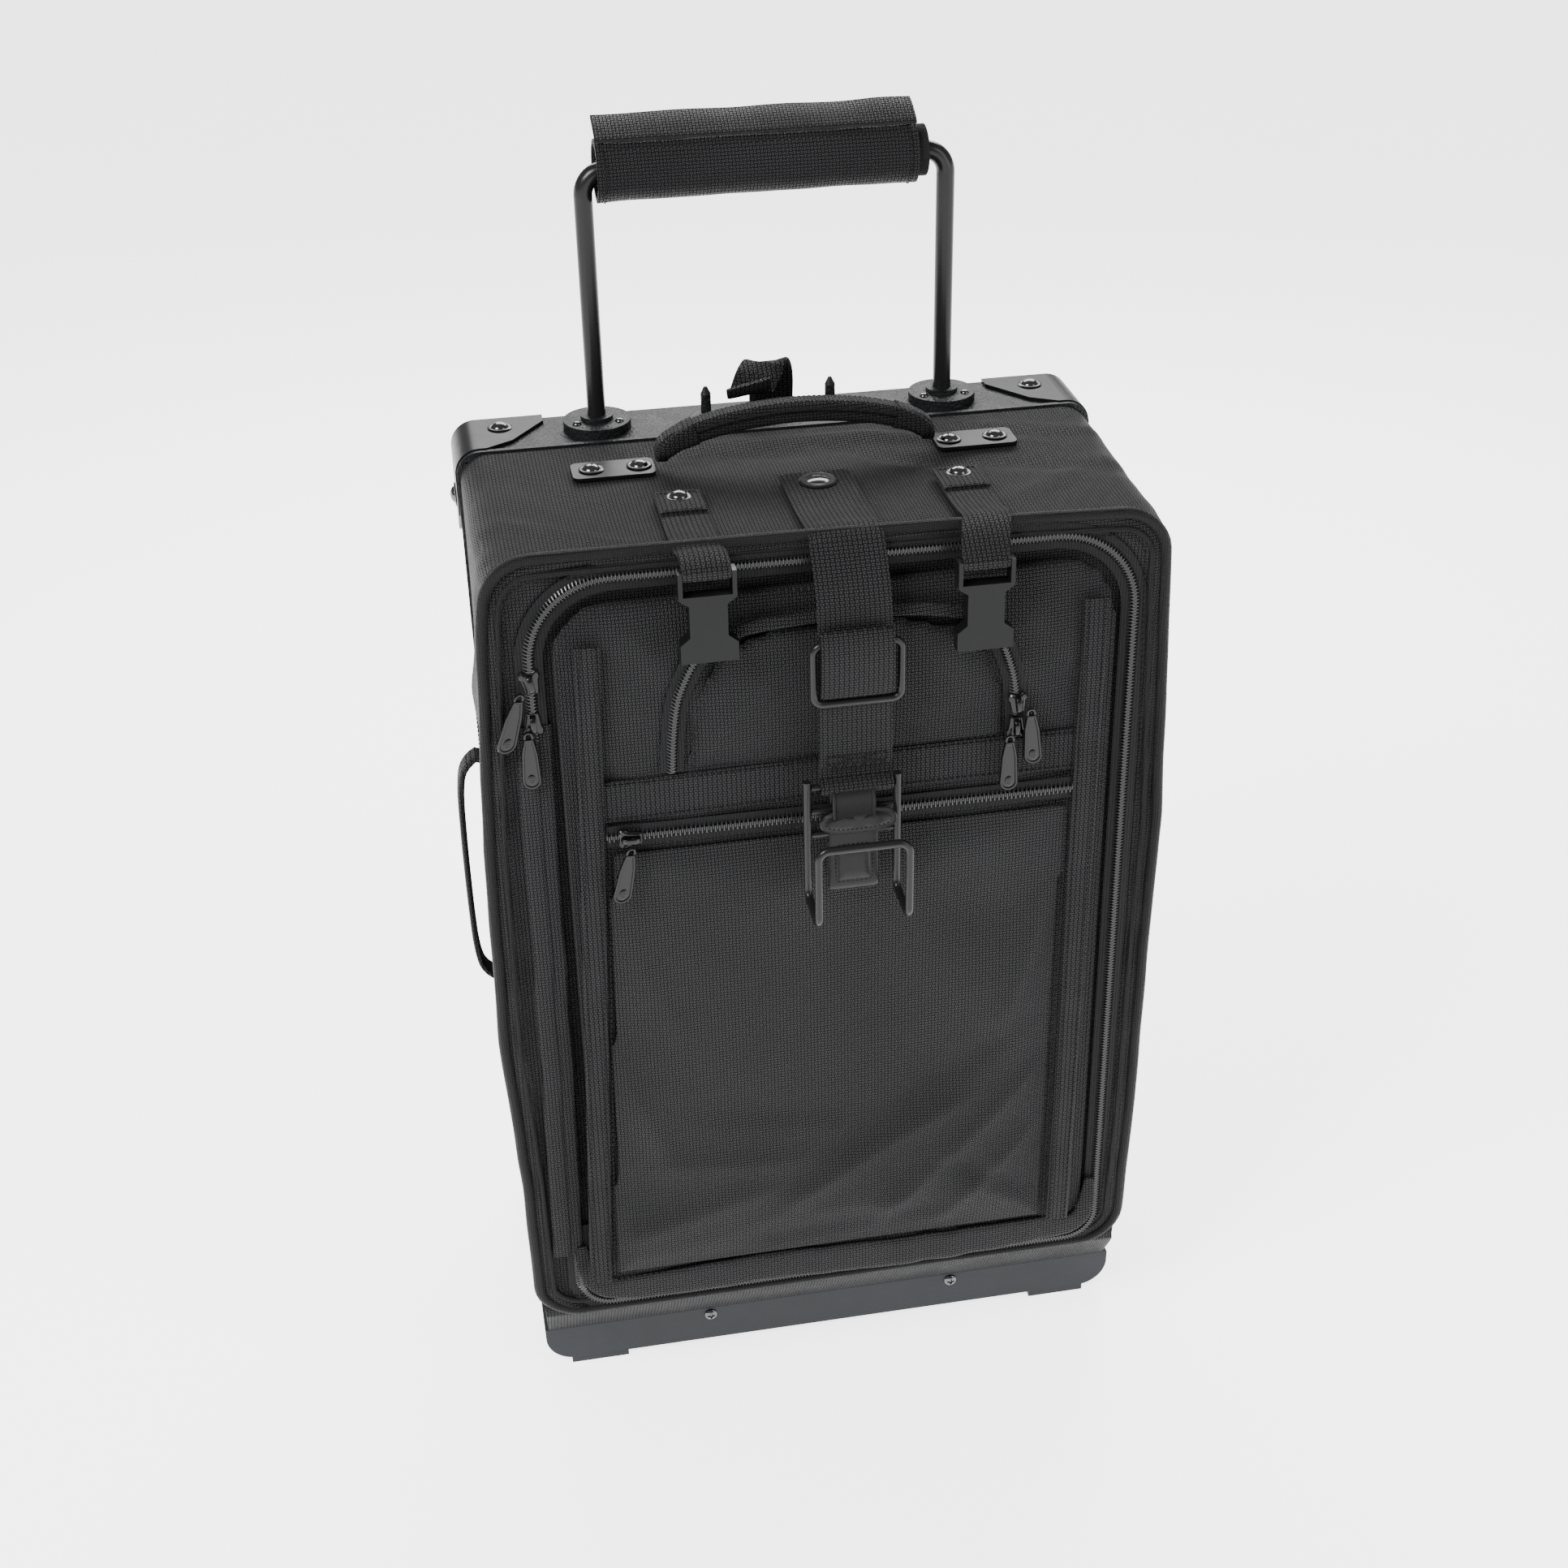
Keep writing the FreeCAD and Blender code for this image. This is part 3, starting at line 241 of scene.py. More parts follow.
def pebbled(name, colour, roughness, scale, depth):
    """A surface of small raised pebbles, painted lighter on their tops as a highlight and darker in the
    hollows between them as shade.
    """
    graph = Graph(name, colour, roughness, specular=0.16)
    pebbles = graph.cells(scale, "SMOOTH_F1")
    # Painted highlight and shade: the same distance that raises the pebbles makes their tops lighter and the
    # hollows darker.
    graph.colours(graph.math("MULTIPLY", pebbles, graph.noise(30.0)), 1.5, 0.7)
    graph.rough(graph.noise(60.0, 4.0), 0.2)
    graph.bump(graph.noise(1500.0, 2.0), 0.00005, 0.4)
    graph.bump(graph.math("SUBTRACT", 1.0, pebbles), depth, 0.9)
    return graph.material


def metal(name, colour, roughness, metallic, scratch=0.1, stretch=(1, 1, 1), specular=0.5):
    """Metal or hard paint over metal, with faint drawn lines and smudges."""
    graph = Graph(name, colour, roughness, metallic, specular)
    lines = graph.noise(420.0, 4.0, 0.6, stretch)
    graph.colours(graph.noise(18.0, 4.0), 0.85, 1.2)
    graph.rough(graph.mix(0.5, lines, graph.noise(40.0, 5.0)), scratch)
    graph.bump(lines, 0.00002, 0.25)
    return graph.material


def grained_leather():
    graph = Graph("leather", (0.0032, 0.0032, 0.0034), 0.3, specular=0.13)
    grain = graph.cells(1300.0, "SMOOTH_F1")
    wrinkle = graph.noise(160.0, 6.0, 0.65)
    # Painted shade and highlight: the colour follows the wrinkle bump, darker where it sinks and lighter
    # where it rises.
    graph.colours(wrinkle, 0.7, 1.7)
    graph.rough(wrinkle, 0.25)
    graph.bump(wrinkle, 0.0002, 0.35)
    graph.bump(grain, 0.00009, 0.6)
    return graph.material


def foam():
    graph = Graph("foam", (0.006, 0.006, 0.006), 0.85, specular=0.1)
    pores = graph.cells(1100.0)
    # Painted shade: the colour is darker in the pits of the pores and lighter on the rims between them,
    # following the bump.
    graph.colours(pores, 0.5, 1.7)
    graph.rough(pores, 0.15)
    graph.bump(pores, 0.0003, 0.9)
    return graph.material


def pile():
    graph = Graph("pile", (0.0075, 0.0064, 0.0058), 0.95, specular=0.15)
    loops = graph.cells(700.0, "SMOOTH_F1")
    # Painted shade and highlight: the colour is darkest in the pit of each loop and lightest on the loop
    # rims, following the bump.
    graph.colours(graph.math("MULTIPLY", loops, graph.noise(220.0)), 0.3, 3.2)
    graph.shader.inputs["Sheen Weight"].default_value = 0.06
    graph.shader.inputs["Sheen Roughness"].default_value = 0.6
    graph.bump(graph.noise(1600.0, 4.0, 0.8), 0.0006, 1.0)
    graph.bump(loops, 0.0005, 1.0)
    return graph.material


def rubber():
    graph = Graph("rubber", (0.007, 0.007, 0.0074), 0.62, specular=0.12)
    dust = graph.noise(35.0, 6.0, 0.7)
    graph.colours(dust, 0.8, 2.2)
    graph.rough(dust, 0.25)
    graph.bump(graph.noise(500.0, 4.0), 0.0001, 0.5)
    return graph.material


def floor_look():
    graph = Graph("floor", (0.88, 0.88, 0.88), 0.75, specular=0.1)
    graph.colours(graph.noise(3.0), 0.99, 1.01)
    graph.shader.inputs["Emission Color"].default_value = (1, 1, 1, 1)
    graph.shader.inputs["Emission Strength"].default_value = 3.0
    return graph.material


LOOKS = {
    "ballistic_nylon": woven("ballistic_nylon", (0.0030, 0.0030, 0.0032), (0.00190, 0.00172),
                             0.00075, 0.6, 0.012, 9.0),
    "webbing": woven("webbing", (0.0030, 0.0030, 0.0032), (0.00250, 0.00150), 0.0008, 0.62, 0.012, 8.5),
    "piping_fabric": woven("piping_fabric", (0.0036, 0.0036, 0.0038), (0.0012, 0.0010), 0.0003, 0.5,
                           0.012, 4.0),
    "zip_coil": moulded("zip_coil", (0.0080, 0.0080, 0.0086), 0.26, 900.0, 0.00003, 0.36),
    "zip_metal": moulded("zip_metal", (0.0026, 0.0026, 0.0028), 0.2, 700.0, 0.00003, 0.22, 0.05),
    "frame_plastic": pebbled("frame_plastic", (0.0045, 0.0048, 0.0052), 0.5, 620.0, 0.0006),
    "guard_metal": moulded("guard_metal", (0.0032, 0.0034, 0.0038), 0.34, 1200.0, 0.00002, 0.12),
    "skid_plastic": moulded("skid_plastic", (0.0092, 0.0106, 0.0128), 0.46, 1100.0, 0.00006, 0.16),
    "rod_metal": metal("rod_metal", (0.0075, 0.0074, 0.0073), 0.25, 0.0, 0.12, (1, 1, 0.03), 0.18),
    "rivet_metal": metal("rivet_metal", (0.085, 0.085, 0.088), 0.18, 1.0, 0.08),
    "buckle_plastic": moulded("buckle_plastic", (0.0040, 0.0041, 0.0045), 0.3, 900.0, 0.00003, 0.13),
    "leather": grained_leather(),
    "foam": foam(),
    "pile": pile(),
    "wheel_tyre": rubber(),
    "wheel_hub": moulded("wheel_hub", (0.012, 0.0122, 0.013), 0.45, 700.0, 0.00008, 0.16),
    "steel": metal("steel", (0.50, 0.50, 0.51), 0.3, 1.0, 0.15),
    "tube_aluminium": metal("tube_aluminium", (0.5, 0.5, 0.51), 0.35, 1.0, 0.15, (1, 1, 0.03)),
}
TAPE = woven("zip_tape", (0.0085, 0.0087, 0.0095), (0.0016, 0.0005), 0.0001, 0.62, 0.01, 1.6)
THREAD = woven("thread", (0.0045, 0.0045, 0.0048), (0.0004, 0.0004), 0.00008, 0.42, 0.01, 2.6)
WASHER = moulded("washer", (0.0025, 0.0025, 0.003), 0.24, 900.0, 0.00002, 0.4)


# ---------------------------------------------------------------- mesh helpers

class Bits:
    """Points and faces gathered from many small shapes."""

    def __init__(self):
        self.points = []
        self.faces = []

    def add(self, points, faces):
        start = len(self.points)
        self.points += list(points)
        self.faces += [tuple(index + start for index in face) for face in faces]


def build(name, points, faces, body, slot, nodes=(), sharp=40.0, look=None):
    """A smooth-shaded piece on a body, from places in millimetres. Its look is its slot's, or another."""
    mesh = bpy.data.meshes.new(name)
    mesh.from_pydata([at(*p) for p in points], [], faces)
    work = bmesh.new()
    work.from_mesh(mesh)
    bmesh.ops.recalc_face_normals(work, faces=work.faces)
    work.to_mesh(mesh)
    work.free()
    mesh.shade_smooth()
    mesh.set_sharp_from_angle(angle=math.radians(sharp))
    mesh.materials.append(look or LOOKS[slot])
    piece = bpy.data.objects.new(name, mesh)
    bpy.context.scene.collection.objects.link(piece)
    if body:
        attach(piece, body)
    if nodes:
        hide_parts(*nodes)
    return piece


def join(bits, name, body, slot, nodes=(), sharp=40.0, look=None):
    """One piece from the gathered bits."""
    return build(name, bits.points, bits.faces, body, slot, nodes, sharp, look)


def loft(rings, caps=True, closed=False, around=True):
    """Faces between rings of points; the two ends are filled, or the last ring meets the first."""
    count = len(rings[0])
    points = [point for ring in rings for point in ring]
    faces = []
    spans = len(rings) if closed else len(rings) - 1
    for ring in range(spans):
        following = (ring + 1) % len(rings)
        for index in range(count if around else count - 1):
            beside = (index + 1) % count
            faces.append((ring * count + index, ring * count + beside,
                          following * count + beside, following * count + index))
    if caps and not closed:
        faces.append(tuple(reversed(range(count))))
        faces.append(tuple(range((len(rings) - 1) * count, len(rings) * count)))
    return points, faces


def smooth_line(points, step=3.0, closed=False):
    """A smooth line through the points, sampled about every step."""
    corners = [np.array(point, float) for point in points]
    count = len(corners)
    line = []
    for index in range(count if closed else count - 1):
        if closed:
            p0, p1, p2, p3 = (corners[(index + k) % count] for k in (-1, 0, 1, 2))
        else:
            p0, p1, p2, p3 = (corners[min(max(index + k, 0), count - 1)] for k in (-1, 0, 1, 2))
        samples = max(1, round(np.linalg.norm(p2 - p1) / step))
        for k in range(samples):
            t = k / samples
            line.append(0.5 * (2 * p1 + (p2 - p0) * t + (2 * p0 - 5 * p1 + 4 * p2 - p3) * t * t
                               + (3 * p1 - p0 - 3 * p2 + p3) * t ** 3))
    if not closed:
        line.append(corners[-1])
    return np.array(line)


def upright(x, *route):
    """A route in y and z at one x."""
    return [(x, y, z) for y, z in route]


def even(line, step, closed=False):
    """The same line with points an even step apart."""
    line = np.array(line, float)
    if closed:
        line = np.vstack([line, line[:1]])
    run = np.concatenate([[0], np.cumsum(np.linalg.norm(np.diff(line, axis=0), axis=1))])
    count = max(2, round(run[-1] / step))
    marks = np.linspace(0, run[-1], count + 1)
    if closed:
        marks = marks[:-1]
    return np.stack([np.interp(marks, run, line[:, axis]) for axis in range(3)], 1)


def sweep(line, section, across=None, closed=False):
    """Rings of a section carried along a line; across is the way the section's width points."""
    line = np.array(line, float)
    if closed:
        tangents = np.roll(line, -1, 0) - np.roll(line, 1, 0)
    else:
        tangents = np.gradient(line, axis=0)
    tangents /= np.linalg.norm(tangents, axis=1)[:, None]
    side = np.array(across if across is not None else (0.3, 0.2, 0.93), float)
    rings = []
    for index, (place, tangent) in enumerate(zip(line, tangents)):
        flat = side - tangent * (side @ tangent)
        flat /= np.linalg.norm(flat)
        if across is None:
            side = flat
        out = np.cross(tangent, flat)
        shape = section(index / (len(line) - 1)) if callable(section) else section
        rings.append([place + flat * u + out * v for u, v in shape])
    return rings


def circle_section(radius, sides=12):
    return [(radius * math.cos(2 * math.pi * k / sides), radius * math.sin(2 * math.pi * k / sides))
            for k in range(sides)]


def strap_section(width, thickness, sides=20):
    """A flat band with rounded edges and slightly fuller selvedges."""
    shape = []
    for k in range(sides):
        angle = 2 * math.pi * (k + 0.5) / sides
        c, s = math.cos(angle), math.sin(angle)
        u = math.copysign(abs(c) ** 0.35, c) * width / 2
        v = math.copysign(abs(s) ** 0.35, s) * thickness / 2
        edge = abs(2 * u / width) ** 8
        shape.append((u, v * (1 - 0.35 * edge)))
    return shape


def tube(line, radius, sides=12, closed=False, across=None):
    return loft(sweep(line, circle_section(radius, sides), across, closed), closed=closed)


def capsule(start, finish, radius, sides=6):
    """A short rounded bar."""
    start, finish = np.array(start, float), np.array(finish, float)
    run = finish - start
    marks = ((0.0, 0.35), (0.14, 1.0), (0.86, 1.0), (1.0, 0.35))
    steep = abs(run[1]) >= 0.8 * np.linalg.norm(run)
    side = np.array((1.0, 0, 0) if steep else (0.31, 0.87, 0.38))
    flat = np.cross(run, side)
    flat /= np.linalg.norm(flat)
    out = np.cross(run, flat)
    out /= np.linalg.norm(out)
    rings = [[start + run * mark + (flat * u + out * v) * swell for u, v in circle_section(radius, sides)]
             for mark, swell in marks]
    return loft(rings)


def stitch_line(bits, line, length=2.3, gap=1.1, radius=0.34, closed=False):
    """Stitches laid end to end along a line."""
    pitch = length + gap
    line = even(line, pitch, closed)
    following = np.roll(line, -1, 0) if closed else line[1:]
    for start, finish in zip(line, following):
        run = (finish - start) / pitch
        bits.add(*capsule(start + run * gap / 2, finish - run * gap / 2, radius))


def sewn(name, rows, body, slot, **settings):
    """A piece made of the stitches along some rows."""
    bits = Bits()
    for row in rows:
        stitch_line(bits, row, **settings)
    return join(bits, name, body, slot, look=THREAD)


def rounded_loop(left, right, low, high, top_radius, low_radius, count=24):
    """A rounded rectangle in x and z, from the bottom left corner and clockwise seen from the front."""
    corners = ((left, low, low_radius, 270), (left, high, top_radius, 180),
               (right, high, top_radius, 90), (right, low, low_radius, 0))
    loop = []
    for x, z, radius, start in corners:
        centre_x = x + radius if x == left else x - radius
        centre_z = z + radius if z == low else z - radius
        for k in range(count + 1):
            angle = math.radians(start - 90 * k / count)
            loop.append((centre_x + radius * math.cos(angle), centre_z + radius * math.sin(angle)))
    return dense(loop, 6.0)


def dense(loop, step):
    """The loop with its long straight runs divided."""
    out = []
    for start, finish in zip(loop, loop[1:] + loop[:1]):
        length = math.dist(start, finish)
        parts = max(1, round(length / step))
        out += [(start[0] + (finish[0] - start[0]) * k / parts,
                 start[1] + (finish[1] - start[1]) * k / parts) for k in range(parts)]
    return out


def inset(loop, amount):
    """A loop moved inwards along its own normals."""
    line = np.array(loop, float)
    ahead = np.roll(line, -1, 0) - np.roll(line, 1, 0)
    ahead /= np.maximum(np.linalg.norm(ahead, axis=1), 1e-9)[:, None]
    normal = np.stack([ahead[:, 1], -ahead[:, 0]], 1)
    area = np.sum(line[:, 0] * np.roll(line[:, 1], -1) - np.roll(line[:, 0], -1) * line[:, 1])
    return line + normal * (amount if area < 0 else -amount)


def shrink(loop, share):
    """A loop drawn towards its own middle."""
    line = np.array(loop, float)
    return line + (line.mean(axis=0) - line) * share


def relief(bits, loops):
    """A closed solid from loops in x and z, each with its own y, the first and last ones filled."""
    bits.add(*loft([[(x, y, z) for x, z in loop] for loop, y in loops]))


def ridge(x, z, start, finish, width):
    """1 on a line between two places, falling smoothly away beside it and towards its ends."""
    run_x, run_z = finish[0] - start[0], finish[1] - start[1]
    length = math.hypot(run_x, run_z)
    along = ((x - start[0]) * run_x + (z - start[1]) * run_z) / length
    aside = ((x - start[0]) * run_z - (z - start[1]) * run_x) / length
    past = max(0.0, -along, along - length)
    return math.exp(-(aside / width) ** 2 - (past / (2.5 * width)) ** 2)


def ripple(x, y, z, size):
    """Slow unevenness of cloth, between -1 and 1."""
    return noise.noise(Vector((x / size, y / size, z / size)))


# ---------------------------------------------------------------- camera, light and floor

def camera():
    """The view from the left, above the case's front edge."""
    data = bpy.data.cameras.new("camera")
    data.sensor_width = 36.0
    data.lens = 51.943
    data.shift_x = -0.00806
    data.shift_y = 0.01077
    eye = bpy.data.objects.new("camera", data)
    bpy.context.scene.collection.objects.link(eye)
    back = Vector((-0.15119999, -0.84659984, 0.51030116)).normalized()
    up = Vector((0.10714588, 0.49915849, 0.85986078))
    right = up.cross(back).normalized()
    turn = Matrix((right, back.cross(right), back)).transposed().to_4x4()
    eye.matrix_world = Matrix.Translation((-0.194519, -1.088003, 1.010005)) @ turn
    bpy.context.scene.camera = eye


def area_light(name, place, target, width, height, power):
    data = bpy.data.lights.new(name, "AREA")
    data.shape = "RECTANGLE"
    data.size = width
    data.size_y = height
    data.energy = power
    lamp = bpy.data.objects.new(name, data)
    bpy.context.scene.collection.objects.link(lamp)
    lamp.location = place
    lamp.rotation_euler = (Vector(target) - Vector(place)).to_track_quat("-Z", "Y").to_euler()


def studio():
    """A pale floor, one large key light, a fill and a light behind."""
    world = bpy.data.worlds.new("studio")
    bpy.context.scene.world = world
    world.use_nodes = True
    background = world.node_tree.nodes["Background"]
    background.inputs["Color"].default_value = (1, 1, 1, 1)
    background.inputs["Strength"].default_value = 0.4
    middle = (0.0, 0.0, 0.35)
    area_light("key", (-1.3, -0.9, 1.9), middle, 0.9, 0.9, 80)
    area_light("fill", (1.5, -1.3, 1.1), middle, 0.8, 1.6, 20)
    area_light("rim", (0.3, 1.3, 1.5), middle, 1.6, 0.8, 50)
    floor = bpy.data.meshes.new("floor")
    reach, count = 30.0, 8
    marks = [reach * (2 * k / count - 1) for k in range(count + 1)]
    points, faces = loft([[(x, y, 0.0) for x in marks] for y in marks], caps=False, around=False)
    floor.from_pydata(points, [], faces)
    floor.materials.append(floor_look())
    backdrop = bpy.data.objects.new("backdrop", floor)
    bpy.context.scene.collection.objects.link(backdrop)


# ---------------------------------------------------------------- the case's cover

LEFT_EDGE = ((30, 176), (66, 177), (82, 180), (163, 181), (267, 186), (393, 184), (522, 177), (554, 172))
RIGHT_EDGE = ((30, 174), (66, 172), (85, 174), (169, 177), (288, 178), (367, 180), (531, 174), (554, 171))
TOP_EDGE = ((-180, 553.5), (0, 553), (90, 551.5), (180, 548.5))
TOP_WRINKLES = (
    ((52, 40), (118, 20), 7, 2.2), ((60, 8), (150, -22), 8, -1.8), ((30, 28), (70, 2), 6, -1.6),
    ((100, 48), (160, 30), 7, 1.6), ((-60, 40), (-10, 30), 9, -1.8), ((-20, 50), (40, 44), 6, 1.6),
    ((-150, -40), (-110, -70), 8, 1.3), ((110, -50), (150, -20), 8, 1.5),
    ((-150, 20), (-120, -20), 10, -1.2),
)
SIDE_WRINKLES = (
    ((40, 200), (-50, 170), 12, 1.6), ((30, 430), (-60, 470), 12, 1.6), ((-70, 330), (-30, 250), 9, -1.6),
    ((50, 120), (-40, 90), 10, 1.8), ((-60, 520), (-20, 440), 9, 1.4), ((20, 300), (-40, 330), 12, -1.2),
)


def level(table, place):
    """A value read between the rows of a table."""
    return float(np.interp(place, [row[0] for row in table], [row[1] for row in table]))


def front_line(z):
    """Where the cover's front edge is at a height: the toe slopes back under the lid."""
    if z >= KNEE:
        return SHELL_FRONT
    return SHELL_FRONT + (TOE - SHELL_FRONT) * (KNEE - z) / (KNEE - SHELL_FLOOR)


def cover_point(side, z, share):
    """A point on a side of the cover; share runs from the front edge to the frame."""
    front = front_line(z)
    back = SHELL_BACK if z > WELL_TOP else WELL_FRONT
    y = front + (back - front) * share
    edge = level(LEFT_EDGE if side < 0 else RIGHT_EDGE, z)
    reach = edge + (176.4 - edge) * share ** 0.7
    puff = math.sin(math.pi * share) * math.sin(math.pi * min(1, max(0, (z - 40) / 500)))
    reach += 2.2 * puff + 1.1 * ripple(y, side * 90, z, 55) * math.sin(math.pi * share)
    for start, finish, width, height in SIDE_WRINKLES:
        reach += height * ridge(y, z, start, finish, width)
    return side * reach, y, z


def top_point(x, share):
    """A point on the cover's top; share runs from the front edge to the frame."""
    y = SHELL_FRONT + (SHELL_BACK - SHELL_FRONT) * share
    front = level(TOP_EDGE, x) - 3.0
    z = front + (SHELL_TOP - 0.2 - front) * share ** 0.6
    free = math.sin(math.pi * share)
    z += free * (0.8 * ripple(x, y, 5, 45) - 0.8)
    for start, finish, width, height in TOP_WRINKLES:
        z += height * ridge(x, y, start, finish, width) * min(1.0, 3 * free)
    return x, y, z


def cover_corner(side, k, corner, depth):
    """Step k of the nine over a top corner of the cover, from the side to the top."""
    angle = math.pi / 2 * k / 9
    column = []
    for j in range(depth + 1):
        x, y, _ = cover_point(side, SHELL_TOP - corner, j / depth)
        _, _, top = top_point(x - side * corner, j / depth)
        column.append((x - side * corner * (1 - math.cos(angle)), y,
                       SHELL_TOP - corner + (top - SHELL_TOP + corner) * math.sin(angle)))
    return column


def cover():
    """The fabric over the case's sides, top and bottom, closed round the case."""
    corner, depth = 15.0, 44
    heights = [SHELL_FLOOR + k * (SHELL_TOP - corner - SHELL_FLOOR) / 84 for k in range(85)]
    columns = []
    for k, z in enumerate(heights):
        columns.append([cover_point(-1, z, j / depth) for j in range(depth + 1)])
    columns += [cover_corner(-1, k, corner, depth) for k in range(1, 9)]
    wide = 74
    for k in range(wide + 1):
        column = []
        for j in range(depth + 1):
            left = cover_point(-1, SHELL_TOP - corner, j / depth)[0] + corner
            right = cover_point(1, SHELL_TOP - corner, j / depth)[0] - corner
            column.append(top_point(left + (right - left) * k / wide, j / depth))
        columns.append(column)
    columns += [cover_corner(1, k, corner, depth) for k in range(8, 0, -1)]
    for z in reversed(heights):
        columns.append([cover_point(1, z, j / depth) for j in range(depth + 1)])
    for k in range(1, 12):
        column = []
        for j in range(depth + 1):
            left = cover_point(-1, SHELL_FLOOR, j / depth)
            right = cover_point(1, SHELL_FLOOR, j / depth)
            column.append(tuple(b + (a - b) * k / 12 for a, b in zip(left, right)))
        columns.append(column)
    points, faces = loft(columns, caps=False, closed=True, around=False)
    piece = build("fabric_cover", points, faces, "case", "ballistic_nylon",
                  ("case_shell",), 60.0)
    thicken(piece, 1.6)


def thicken(piece, thickness):
    """Give an open sheet its thickness, inwards, and close its rims."""
    solid = piece.modifiers.new("thickness", "SOLIDIFY")
    solid.thickness = thickness * MM
    solid.offset = -1.0


def edge_loop(grow=0.0, count=10):
    """The bulging outline of the case's front face, in x and z."""
    low, corner = 66.0, 22.0
    loop = []
    base = rounded_loop(-176, 176, low, 552, corner, corner, count)
    for x, z in base:
        side = level(LEFT_EDGE if x < 0 else RIGHT_EDGE, z) / 176
        top = level(TOP_EDGE, x) - 552
        lift = max(0.0, (z - 500) / 52)
        loop.append((x * side, z + top * lift))
    return inset(loop, -grow) if grow else np.array(loop)


PANEL = (-150.5, 153.5, 76.5, 535.5, 38.0, 14.0)


def panel_loop(grow=0.0, count=12):
    left, right, low, high, top_radius, low_radius = PANEL
    return rounded_loop(left - grow, right + grow, low - grow, high + grow, top_radius + grow,
                        low_radius + grow, count)


def resampled(loop, count):
    """A loop with a set number of evenly spread points, from its point nearest the bottom left."""
    line = np.array(loop, float)
    start = int(np.argmin(line[:, 0] + line[:, 1]))
    line = np.roll(line, -start, 0)
    ring = np.vstack([line, line[:1]])
    run = np.concatenate([[0], np.cumsum(np.linalg.norm(np.diff(ring, axis=0), axis=1))])
    marks = np.linspace(0, run[-1], count + 1)[:-1]
    return np.stack([np.interp(marks, run, ring[:, 0]), np.interp(marks, run, ring[:, 1])], 1)


def front_face():
    """The fabric between the piping and the zip, with its folds, and the lining behind the panel."""
    count = 420
    outer = resampled(edge_loop(), count)
    inner = resampled(panel_loop(8.0), count)
    behind = resampled(panel_loop(-12.0), count)
    rings = []
    steps = 14
    for k in range(steps + 1):
        share = k / steps
        ring = []
        for (x0, z0), (x1, z1) in zip(outer, inner):
            x, z = x0 + (x1 - x0) * share, z0 + (z1 - z0) * share
            puff = 3.2 * math.sin(math.pi * share) ** 0.8
            puff += 1.2 * ripple(x, 3, z, 26) * math.sin(math.pi * share)
            if x < -120:
                puff += 1.6 * math.sin(2.5 * math.pi * share) * math.sin(math.pi * share)
            ring.append((x, SHELL_FRONT - 0.6 - puff, z))
        rings.append(ring)
    rings.append([(x, -86.2, z) for x, z in resampled(panel_loop(4.0), count)])
    rings.append([(x, -85.6, z) for x, z in behind])
    points, faces = loft(rings, caps=False)
    back = len(points)
    points += [(x, SHELL_FRONT + 1.0, z) for x, z in behind]
    points += [(x, SHELL_FRONT + 1.0, z) for x, z in outer]
    last = (len(rings) - 1) * count
    for k in range(count):
        m = (k + 1) % count
        faces.append((last + k, last + m, back + m, back + k))
        faces.append((back + k, back + m, back + count + m, back + count + k))
        faces.append((back + count + k, back + count + m, m, k))
    build("lid_surround", points, faces, "case", "ballistic_nylon", (), 50.0)
    bits = Bits()
    relief(bits, [(resampled(panel_loop(-8.0), 160), -84.4), (resampled(panel_loop(-8.0), 160), -83.2)])
    join(bits, "lid_lining", "case", "ballistic_nylon")


def skirt():
    """The sloping toe of the cover under the lid, with slack folds."""
    rings = []
    rows, columns = 10, 90
    for k in range(rows + 1):
        z = SHELL_FLOOR + (70.0 - SHELL_FLOOR) * k / rows
        left, right = cover_point(-1, z, 0.0)[0], cover_point(1, z, 0.0)[0]
        ring = []
        for j in range(columns + 1):
            x = left + (right - left) * j / columns
            fold = 1.6 * math.sin(math.pi * k / rows) * (0.6 + ripple(x, 0, z, 22))
            ring.append((x, front_line(z) - 0.4 - fold, z))
        rings.append(ring)
    points, faces = loft(rings, caps=False, around=False)
    piece = build("toe_skirt", points, faces, "case", "ballistic_nylon")
    thicken(piece, 1.2)


def piping():
    """The covered cord round the front face, and the finer ridge of the seam inside it."""
    loop = resampled(edge_loop(-0.5), 520)
    line = []
    for x, z in loop:
        wave = 0.5 * ripple(x, 8, z, 30)
        line.append((x + wave * (1 if x > 0 else -1), SHELL_FRONT - 2.4 + 0.4 * wave, z))
    build("front_piping_cord", *tube(line, 3.1, 12, True, (0, 1, 0)), "case", "piping_fabric",
          ("front_piping",))
    seam = [(x, SHELL_FRONT - 3.6 + 0.5 * ripple(x, 2, z, 30), z)
            for x, z in resampled(edge_loop(-8.5), 480)]
    build("front_seam_ridge", *tube(seam, 1.7, 8, True, (0, 1, 0)), "case", "piping_fabric")
    rows = [[(x, y, z) for x, z in resampled(edge_loop(grow), 400)]
            for grow, y in ((-5.0, -87.6), (-12.0, -89.4))]
    sewn("lid_stitching", rows, "case", "ballistic_nylon", closed=True)


# ---------------------------------------------------------------- padded panel and pockets

